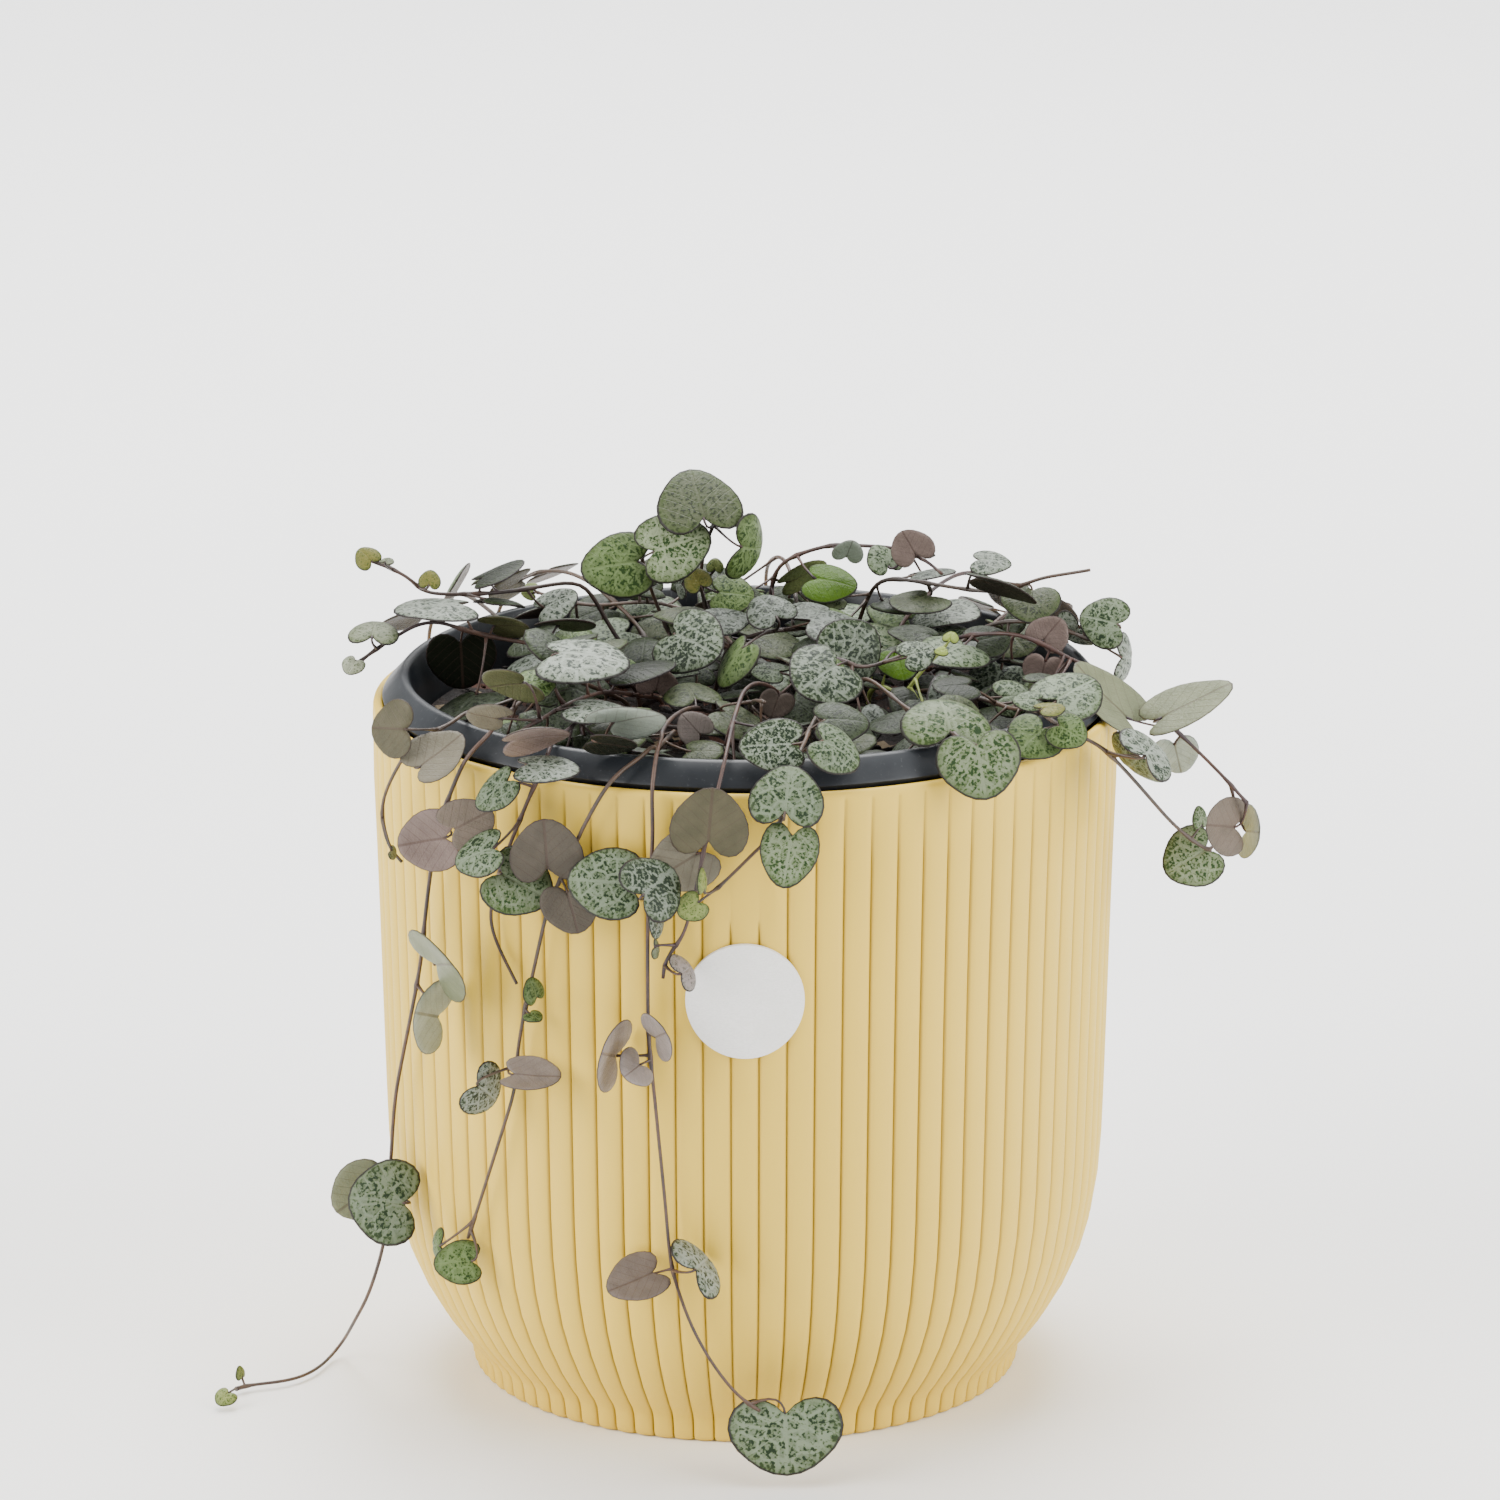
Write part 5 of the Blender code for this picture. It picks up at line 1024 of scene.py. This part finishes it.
def leaf_layers(bm):
    """The named values that the leaf and stem materials read."""
    layers = bm.verts.layers
    return {
        "place": layers.float_vector.new("leaf_place"),
        "share": layers.float_vector.new("leaf_share"),
        "look": layers.float_vector.new("leaf_look"),
        "upper": layers.float_color.new("upper_colour"),
        "speck": layers.float_color.new("speck_colour"),
        "under": layers.float_color.new("under_colour"),
    }


def edge_point(index):
    """A corner of the finished heart's edge, counted from its notch round by its right side."""
    last = len(FINISHED_HALF) - 1
    side = 1 if index <= last else -1
    across, ahead = FINISHED_HALF[index if index <= last else 2 * last - index]
    return Vector((across * side, ahead, 0))


def grow_blade(bm, layers, leaf, tone, draw, sides=LEAF_SIDES, rings=LEAF_RINGS):
    """A fleshy heart with a rounded rim, a sunken midrib and a slightly wavy edge."""
    width, long = leaf.width, leaf.long
    made = bmesh.ops.create_uvsphere(bm, u_segments=sides, v_segments=rings, radius=1.0)["verts"]
    seed = draw.uniform(0, 400)
    wave, phase, cup = draw.uniform(0.006, 0.02), draw.uniform(0, 6.28), draw.uniform(-0.02, 0.03)
    light = draw.uniform(0.86, 1.14)
    upper = [min(part * light, 1.0) for part in tone.upper]
    spacing = PATTERN_LEAF * (width / MM / PATTERN_LEAF) ** PATTERN_GROWTH
    half = half_thickness(width)
    middle = Vector((0, HEART_MIDDLE, 0))
    for vert in made:
        x, y, z = vert.co
        share = min(math.hypot(x, y), 1.0)
        turn = (math.degrees(math.atan2(y, x)) + 90) % 360
        corner = edge_point(round(turn / 360 * sides) * (LEAF_SIDES // sides) % LEAF_SIDES)
        flat = middle + (corner - middle) * share
        swell = math.sqrt(max(1 - share ** 4, 0.0))
        lift = blade_height(flat.x * width, flat.y * width, width)
        lift += width * share ** 2 * (wave * math.sin(3 * math.radians(turn) + phase) + cup * share)
        groove = math.exp(-(flat.x / MIDRIB_HALF) ** 2) * min(max(flat.y / 0.1, 0.0), 1.0)
        quilt = 0.5 + 0.5 * math.cos(QUILT_WAVES * (flat.y - 0.7 * abs(flat.x)))
        dent = (MIDRIB_DEPTH * groove + QUILT_DEPTH * quilt) * swell
        above = 1.0 if z > 1e-6 else (0.5 if z > -1e-6 else 0.0)
        lift += half * swell * (2 * above - 1)
        lift += -dent if z > 0 else -0.5 * dent
        vert[layers["place"]] = Vector((flat.x * spacing, flat.y * spacing * long, seed))
        vert[layers["share"]] = Vector((flat.x, flat.y, share))
        vert[layers["look"]] = Vector((above, tone.specks, tone.flush))
        vert[layers["upper"]] = (*upper, 1.0)
        vert[layers["speck"]] = (*tone.speck, 1.0)
        vert[layers["under"]] = (*tone.under, 1.0)
        vert.co = leaf.place @ Vector((flat.x * width, flat.y * width * long, lift))


def run_frames(path):
    """A frame at each point of a run, turned as little as possible from one to the next."""
    frames = []
    side = Vector((1, 0, 0))
    for index, point in enumerate(path):
        ahead = path[min(index + 1, len(path) - 1)] - path[max(index - 1, 0)]
        ahead.normalize()
        side = side - ahead * side.dot(ahead)
        if side.length < 0.05:
            side = ahead.orthogonal()
        side.normalize()
        frames.append(axes_at(point, side, ahead.cross(side), ahead))
    return frames


def grow_tube(bm, layers, path, radii, sides, youth):
    """A round stem or stalk along a run."""
    before = set(bm.faces)
    made = bmesh.ops.create_circle(bm, segments=sides, radius=1.0, cap_ends=True)["verts"]
    face = made[0].link_faces[0]
    corners = [vert.co.copy() for vert in face.verts]
    for index, (place, radius) in enumerate(zip(run_frames(path), radii)):
        if index:
            face = bmesh.ops.extrude_discrete_faces(bm, faces=[face])["faces"][0]
        for vert, corner in zip(face.verts, corners):
            vert.co = place @ (corner * radius)
            vert[layers["look"]] = Vector((0.0, 0.0, youth))
    fresh = [item for item in bm.faces if item not in before]
    rim = {edge for item in fresh for edge in item.edges if edge.is_boundary}
    if rim:
        fresh += bmesh.ops.contextual_create(bm, geom=list(rim))["faces"]
    bmesh.ops.recalc_face_normals(bm, faces=fresh)
    for item in fresh:
        item.material_index = 1


def stalk_points(leaf):
    """A smooth run from a leaf's notch to its root."""
    start = leaf.place @ Vector((0, 0.055 * leaf.width, blade_height(0, 0, leaf.width)))
    pull = leaf.bend
    if pull is None:
        backward = -(leaf.place.to_3x3() @ Vector((0, 1, 0)))
        pull = start.lerp(leaf.root, 0.45) + backward * (leaf.root - start).length * 0.12
    points = []
    for index in range(STALK_STEPS + 1):
        t = index / STALK_STEPS
        points.append(start * (1 - t) ** 2 + pull * 2 * t * (1 - t) + leaf.root * t ** 2)
    return points


def grow_stalk(bm, layers, leaf, youth):
    """The thin stalk of a leaf, a little thicker at both ends."""
    points = stalk_points(leaf)
    last = len(points) - 1
    radii = [STALK_RADIUS * (0.85 + 0.5 * abs(2 * index / last - 0.85) ** 3) for index in range(last + 1)]
    grow_tube(bm, layers, points, radii, STALK_SIDES, youth)


def stem_radii(path, roots, thickness):
    """A stem's radius along its run, thinning to the tail and swollen where leaves grow."""
    radii = []
    for index, point in enumerate(path):
        radius = STEM_RADIUS + (TAIL_RADIUS - STEM_RADIUS) * index / (len(path) - 1)
        near = min([(root - point).length for root in roots] + [1.0])
        radii.append(radius * thickness * (1 + 0.5 * math.exp(-(near / NODE_REACH) ** 2)))
    return radii


def eased(path):
    """A stem's run in short steps with its small kinks smoothed out."""
    run = smooth_path(path, EASE_STEP)
    for _ in range(EASE_ROUNDS):
        middle = [(a + b * 2 + c) / 4 for a, b, c in zip(run, run[1:], run[2:])]
        run = run[:1] + middle + run[-1:]
    return run


def tree_of(names):
    """A search tree over the meshes of some solids."""
    corners, faces = [], []
    for name in names:
        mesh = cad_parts[name].data
        start = len(corners)
        corners += [vert.co.copy() for vert in mesh.vertices]
        faces += [[start + index for index in face.vertices] for face in mesh.polygons]
    return BVHTree.FromPolygons(corners, faces)


def leaf_tree(leaf):
    """A search tree over a slightly swollen blade."""
    swollen = leaf._replace(place=leaf.place @ Matrix.Diagonal((1.07, 1.07, 2.4, 1.0)))
    bm = bmesh.new()
    grow_blade(bm, leaf_layers(bm), swollen, TONES["dark"], random.Random(SEED), FILLER_SIDES, 4)
    tree = BVHTree.FromBMesh(bm)
    bm.free()
    return tree


def first_hit(trees, start, ray, length=1.0):
    """Where a line first meets any of the trees, or nothing."""
    hits = [tree.ray_cast(start, ray, length) for tree in trees]
    hits = [hit for hit in hits if hit[0] is not None]
    return min(hits, key=lambda hit: hit[3])[0] if hits else None


def hides_only_soil(leaf, greens, pots):
    """Whether a low leaf covers bare soil and no leaf, collar or pot, seen from the front or from above."""
    width, long = leaf.width, leaf.long
    spots = [Vector((0, HEART_MIDDLE * width * long, 0))]
    for index in range(0, LEAF_SIDES, 4):
        corner = edge_point(index)
        ahead = HEART_MIDDLE + (corner.y - HEART_MIDDLE) * 0.85
        spots.append(Vector((corner.x * 0.85 * width, ahead * width * long, 0)))
    shown = covered = above = 0
    for spot in spots:
        point = leaf.place @ spot
        away = (point - EYE).normalized()
        if first_hit(greens, point - away * MM, -away) is None:
            shown += 1
            beyond = first_hit(greens, point + away * MM, away, 0.06)
            wall = first_hit(pots, point, away)
            if wall is None or wall.z > COLLAR_FOOT and wall.y < 0:
                return False
            covered += beyond is None
        if first_hit(greens, point + Vector((0, 0, MM)), Vector((0, 0, 1))) is None:
            above += first_hit(greens, point - Vector((0, 0, MM)), Vector((0, 0, -1))) is None
    return shown - covered <= 2 and (covered >= 2 or above >= 3)


def try_filler(draw, near_stems, greens, pots):
    """One low leaf at a random place over the soil, grown from the nearest stem, or nothing."""
    reach = FILLER_REACH * math.sqrt(draw.random())
    angle = draw.uniform(0, 2 * math.pi)
    spot = Vector((reach * math.cos(angle), reach * math.sin(angle), draw.uniform(*FILLER_HEIGHTS)))
    root = near_stems.find(spot)[0]
    width = draw.uniform(*FILLER_WIDTHS) * MM
    facing = Vector((draw.uniform(-0.6, 0.6), draw.uniform(-0.9, 0.3), 1.0)).normalized()
    along = spot - root + Vector((draw.uniform(-1, 1), draw.uniform(-1, 1), 0)) * 3 * MM
    along = (along - facing * along.dot(facing)).normalized()
    notch = spot - along * HEART_MIDDLE * width
    place = axes_at(notch, along.cross(facing), along, facing)
    drawn = drawn_at(spot)
    left, right, top, bottom = BARE_WINDOW
    stalk = root - notch
    if left < drawn.x < right and top < drawn.y < bottom or not 2 * MM < stalk.length < FILLER_STALK:
        return None
    if (place.inverted() @ root).y > 0.1 * stalk.length:
        return None
    leaf = Leaf(place, width, 1.0, root.copy(), None)
    tree = leaf_tree(leaf)
    if any(tree.overlap(other) for other in greens + pots):
        return None
    heading = stalk.normalized()
    if first_hit(greens + pots, notch + heading * MM, heading, stalk.length - 2.4 * MM) is not None:
        return None
    return (leaf, tree) if hides_only_soil(leaf, greens, pots) else None


def low_leaves(runs):
    """Leaves that hide the soil between the others, listed by the stem that they grow from."""
    draw = random.Random(SEED)
    owners = [(point, name) for name, run in runs.items() for point in run
              if point.z > SOIL_LEVEL + 2.5 * MM and point.xy.length < FILLER_REACH + 6 * MM]
    near_stems = KDTree(len(owners))
    for index, (point, name) in enumerate(owners):
        near_stems.insert(point, index)
    near_stems.balance()
    greens = [tree_of([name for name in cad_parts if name.startswith("vine")])]
    pots = [tree_of(["soil", "nursery_pot", "cover_pot"])]
    found = {name: [] for name in runs}
    count = 0
    for _ in range(FILLER_TRIES):
        made = try_filler(draw, near_stems, greens, pots)
        if made:
            leaf, tree = made
            greens.append(tree)
            found[owners[near_stems.find(leaf.root)[1]][1]].append(leaf)
            count += 1
            if count == FILLERS:
                break
    return found


def tip_leaves(run):
    """A pair of tiny leaves at the end of a stem."""
    ahead = (run[-1] - run[-3]).normalized()
    outward = Vector((run[-1].x, run[-1].y, 0)).normalized()
    pair = []
    for side, width in zip((1, -1), TIP_WIDTHS):
        along = (ahead + ahead.cross(outward) * side * 0.9).normalized()
        facing = (outward - along * outward.dot(along)).normalized()
        notch = run[-1] + along * 1.1 * MM
        place = axes_at(notch, along.cross(facing), along, facing)
        pair.append(Leaf(place, width, 1.0, run[-1].copy(), None))
    return pair


def build_vine(name, run, materials, thickness, draw, fillers):
    """One stem with all its leaves as a single piece that stands for its solid."""
    leaves = solid_leaves(name, run)
    bm = bmesh.new()
    layers = leaf_layers(bm)
    youth = 1.0 if name == "vine_young_shoot" else draw.uniform(0.0, 0.05)
    for leaf in leaves:
        tone = "shoot" if name == "vine_young_shoot" else tone_of(leaf_middle(leaf), draw)
        grow_blade(bm, layers, leaf, TONES[tone], draw)
    for leaf in fillers:
        # The low leaves take dark tones as painted shade, darker below the height LOW_LEAF
        tones = DEEP_SHADE_TONES if leaf.place.translation.z < LOW_LEAF else FILLER_SHADE_TONES
        grow_blade(bm, layers, leaf, TONES[draw.choice(tones)], draw, FILLER_SIDES, FILLER_RINGS)
    tips = tip_leaves(run) if name in {hidden for hidden, _ in HIDDEN_VINES} else []
    for leaf in tips:
        grow_blade(bm, layers, leaf, TONES["lime"], draw, FILLER_SIDES, FILLER_RINGS)
    for leaf in leaves + fillers + tips:
        grow_stalk(bm, layers, leaf, youth)
    radii = stem_radii(run, [leaf.root for leaf in leaves], thickness)
    grow_tube(bm, layers, run, radii, STEM_SIDES, youth)
    show(bm, name.replace("vine", "stem"), materials, "plant", name)
    return len(leaves)


class PotSettings(bpy.types.PropertyGroup):
    """Sizes and colours of the pots and the label."""
    rib_count: bpy.props.IntProperty(name="Ribs", description="Bands round the cover pot", default=84, min=40,
                                     max=120)
    groove_depth: bpy.props.FloatProperty(name="Groove depth", description="Depth of the fine grooves",
                                          default=0.6 * MM, min=0.0, max=0.001, precision=5, unit="LENGTH")
    cover_colour: bpy.props.FloatVectorProperty(name="Cover pot", description="Colour of the ribbed plastic",
                                                default=(0.70, 0.475, 0.055), min=0.0, max=1.0,
                                                subtype="COLOR")


class PlantSettings(bpy.types.PropertyGroup):
    """Stems, leaves and soil."""
    stem_thickness: bpy.props.FloatProperty(name="Stem thickness", description="Share of the usual thickness",
                                            default=0.62, min=0.4, max=1.5, subtype="FACTOR")
    crumb_count: bpy.props.IntProperty(name="Crumbs", description="Loose crumbs on the soil", default=620,
                                       min=0, max=2000)


class StageSettings(bpy.types.PropertyGroup):
    """The floor and the studio light."""
    floor_colour: bpy.props.FloatVectorProperty(name="Floor", description="Colour of the pale floor",
                                                default=(0.93, 0.93, 0.925), min=0.0, max=1.0,
                                                subtype="COLOR")
    key_power: bpy.props.FloatProperty(name="Key light", description="Power of the main soft light",
                                       default=40.0, min=0.0, max=500.0, subtype="POWER", unit="POWER")


class HEARTS_OT_cover_pot(bpy.types.Operator):
    """Build the ribbed cover pot"""
    bl_idname = "hearts.cover_pot"
    bl_label = "Cover pot"

    def execute(self, context):
        settings = context.scene.hearts_pot
        bm = bmesh.new()
        layer = bm.verts.layers.float.new("groove_depth")
        steps = settings.rib_count * len(RIB_SHAPE)
        height, radius = COVER_UNDERSIDE[0]
        loop = ring_of(bm, steps, radius * MM, height * MM)
        bmesh.ops.contextual_create(bm, geom=ring_edges(loop))
        for height, radius in COVER_UNDERSIDE[1:]:
            loop = raise_ring(bm, loop, radius * MM, height * MM)
        ribbed = []
        for height, radius in COVER_OUTSIDE:
            loop = raise_ring(bm, loop, radius * MM, height * MM)
            ribbed.append((height, loop))
        for height, radius in COVER_INSIDE:
            loop = raise_ring(bm, loop, radius * MM, height * MM)
        bmesh.ops.contextual_create(bm, geom=ring_edges(loop))
        shape_ribs(ribbed, settings.rib_count, settings.groove_depth, layer)
        bmesh.ops.recalc_face_normals(bm, faces=bm.faces)
        show(bm, "cover_pot_ribbed", [cover_material(settings.cover_colour)], "cover_pot", "cover_pot",
             crease=POT_CREASE)
        return {"FINISHED"}


class HEARTS_OT_label(bpy.types.Operator):
    """Build the plain round label"""
    bl_idname = "hearts.label"
    bl_label = "Label"

    def execute(self, context):
        bm = bmesh.new()
        bmesh.ops.create_circle(bm, segments=LABEL_SIDES, radius=LABEL_RADIUS, cap_ends=True)
        for share in LABEL_RINGS:
            face = max(bm.faces, key=lambda item: len(item.verts))
            bmesh.ops.inset_region(bm, faces=[face], thickness=LABEL_RADIUS * (1 - share) * 0.12)
        face = max(bm.faces, key=lambda item: len(item.verts))
        bmesh.ops.poke(bm, faces=[face])
        made = bmesh.ops.extrude_face_region(bm, geom=list(bm.faces))
        front = [item for item in made["geom"] if isinstance(item, bmesh.types.BMVert)]
        bmesh.ops.translate(bm, verts=front, vec=(0, 0, LABEL_THICKNESS))
        rim = [vert for vert in front if vert.co.xy.length > LABEL_RADIUS * 0.999]
        for vert in rim:
            vert.co = Vector((vert.co.x * LABEL_EDGE, vert.co.y * LABEL_EDGE, vert.co.z - LABEL_DROP))
        for vert in bm.verts:
            height = LABEL_HEIGHT + vert.co.y
            radius = profile_radius(POT_SIDE, height) + LABEL_GAP + vert.co.z
            angle = vert.co.x / LABEL_BEND
            vert.co = Vector((radius * math.sin(angle), -radius * math.cos(angle), height))
        bmesh.ops.recalc_face_normals(bm, faces=bm.faces)
        show(bm, "plain_label", [label_material()], "label", "label", crease=LABEL_CREASE)
        return {"FINISHED"}


class HEARTS_OT_growers_pot(bpy.types.Operator):
    """Build the charcoal grower's pot"""
    bl_idname = "hearts.growers_pot"
    bl_label = "Grower's pot"

    def execute(self, context):
        bm = turned(GROWER_PROFILE, GROWER_SEGMENTS)
        show(bm, "growers_pot", [grower_material()], "nursery_pot", "nursery_pot", crease=POT_CREASE)
        return {"FINISHED"}


class HEARTS_OT_soil(bpy.types.Operator):
    """Build the soil with its crumbs"""
    bl_idname = "hearts.soil"
    bl_label = "Soil"

    def execute(self, context):
        draw = random.Random(SEED)
        rings = [(SOIL_RADIUS / MM * share / SOIL_RINGS, SOIL_LEVEL / MM) for share in range(SOIL_RINGS + 1)]
        rings += [(SOIL_FLOOR, SOIL_BOTTOM / MM), (0.0, SOIL_BOTTOM / MM)]
        bm = turned(rings, SOIL_SEGMENTS)
        for vert in bm.verts:
            if vert.co.z > SOIL_LEVEL - 1 * MM and vert.co.xy.length < SOIL_RADIUS * 0.98:
                vert.co.z = soil_height(vert.co.x, vert.co.y)
        for _ in range(context.scene.hearts_plant.crumb_count):
            reach = SOIL_RADIUS * 0.965 * math.sqrt(draw.random())
            angle = draw.uniform(0, 6.28)
            x, y = reach * math.cos(angle), reach * math.sin(angle)
            size = draw.choice(CRUMB_SIZES) * MM
            spot = Vector((x, y, soil_height(x, y) + 0.1 * size))
            add_crumb(bm, draw, spot, size, draw.uniform(1.0, 1.8))
        for px, py, longer in STRAWS:
            add_crumb(bm, draw, seen_level(px, py, SOIL_LEVEL / MM + 0.9), 0.5 * MM, STRAW_LENGTH + longer)
        show(bm, "potting_soil", [soil_material()], "soil", "soil")
        return {"FINISHED"}


class HEARTS_OT_stems(bpy.types.Operator):
    """Grow the trailing stems with their heart leaves"""
    bl_idname = "hearts.stems"
    bl_label = "Trailing stems"

    def execute(self, context):
        draw = random.Random(SEED)
        materials = [heart_material(), stem_material()]
        thickness = context.scene.hearts_plant.stem_thickness
        count = 0
        runs = {name: eased(path) for name, path in stem_paths().items()}
        fillers = low_leaves(runs)
        for name, run in runs.items():
            count += build_vine(name, run, materials, thickness, draw, fillers[name])
        if count < LEAST_LEAVES:
            raise RuntimeError(f"only {count} leaves were found on the solids")
        return {"FINISHED"}


def soft_light(lamp, key_power):
    """A large square light that faces its target."""
    light = bpy.data.lights.new(lamp.name, "AREA")
    light.energy = key_power * lamp.share
    light.size = lamp.size
    light.color = lamp.colour
    made = bpy.data.objects.new(lamp.name, light)
    bpy.context.scene.collection.objects.link(made)
    aim = Vector(lamp.target) - Vector(lamp.place)
    turn = aim.to_track_quat("-Z", "Y").to_matrix().to_4x4()
    made.matrix_world = Matrix.Translation(lamp.place) @ turn


class HEARTS_OT_stage(bpy.types.Operator):
    """Set the pale floor, the soft light and the camera"""
    bl_idname = "hearts.stage"
    bl_label = "Stage"

    def execute(self, context):
        settings = context.scene.hearts_stage
        bm = bmesh.new()
        bmesh.ops.create_grid(bm, x_segments=2, y_segments=2, size=FLOOR_HALF)
        floor = add_object(bm, "floor", [floor_material(settings.floor_colour)])
        for lamp in LAMPS:
            soft_light(lamp, settings.key_power)
        world = bpy.data.worlds.new("studio")
        context.scene.world = world
        world.use_nodes = True
        wire(world.node_tree, world.node_tree.nodes["Background"], {0: (1.0, 1.0, 1.0, 1.0), 1: WORLD_LIGHT})
        camera = bpy.data.cameras.new("front_camera")
        camera.sensor_width = 36.0
        camera.lens = camera.sensor_width * VIEW_DISTANCE / (PHOTO_WIDTH * VIEW_SCALE)
        camera.clip_end = 20.0
        eye = bpy.data.objects.new("front_camera", camera)
        context.scene.collection.objects.link(eye)
        aim = VIEW_POINT + RIGHT * (PHOTO_WIDTH / 2 - VIEW_CENTRE_X) * VIEW_SCALE
        eye.location = aim + TOWARDS * VIEW_DISTANCE
        eye.rotation_euler = (math.pi / 2 - VIEW_TILT, 0, 0)
        context.scene.camera = eye
        return {"FINISHED"}


class HEARTS_PT_panel(bpy.types.Panel):
    """Sizes, colours and build buttons of the plant"""
    bl_label = "Potted string of hearts"
    bl_idname = "HEARTS_PT_panel"
    bl_space_type = "VIEW_3D"
    bl_region_type = "UI"
    bl_category = "Hearts"

    def draw(self, context):
        scene = context.scene
        for settings, names in ((scene.hearts_pot, ("rib_count", "groove_depth", "cover_colour")),
                                (scene.hearts_plant, ("stem_thickness", "crumb_count")),
                                (scene.hearts_stage, ("floor_colour", "key_power"))):
            for name in names:
                self.layout.prop(settings, name)
        for operator in OPERATORS:
            self.layout.operator(operator.bl_idname)


OPERATORS = (HEARTS_OT_stage, HEARTS_OT_cover_pot, HEARTS_OT_label, HEARTS_OT_growers_pot, HEARTS_OT_soil,
             HEARTS_OT_stems)
CLASSES = (PotSettings, PlantSettings, StageSettings) + OPERATORS + (HEARTS_PT_panel,)


def register():
    """Add the settings, operators and panel."""
    for item in CLASSES:
        bpy.utils.register_class(item)
    bpy.types.Scene.hearts_pot = bpy.props.PointerProperty(type=PotSettings)
    bpy.types.Scene.hearts_plant = bpy.props.PointerProperty(type=PlantSettings)
    bpy.types.Scene.hearts_stage = bpy.props.PointerProperty(type=StageSettings)


def unregister():
    """Take them away again."""
    del bpy.types.Scene.hearts_stage
    del bpy.types.Scene.hearts_plant
    del bpy.types.Scene.hearts_pot
    for item in reversed(CLASSES):
        bpy.utils.unregister_class(item)


def main():
    """Build every piece."""
    register()
    bpy.ops.hearts.stage()
    bpy.ops.hearts.cover_pot()
    bpy.ops.hearts.label()
    bpy.ops.hearts.growers_pot()
    bpy.ops.hearts.soil()
    bpy.ops.hearts.stems()


if __name__ == "__main__":
    main()
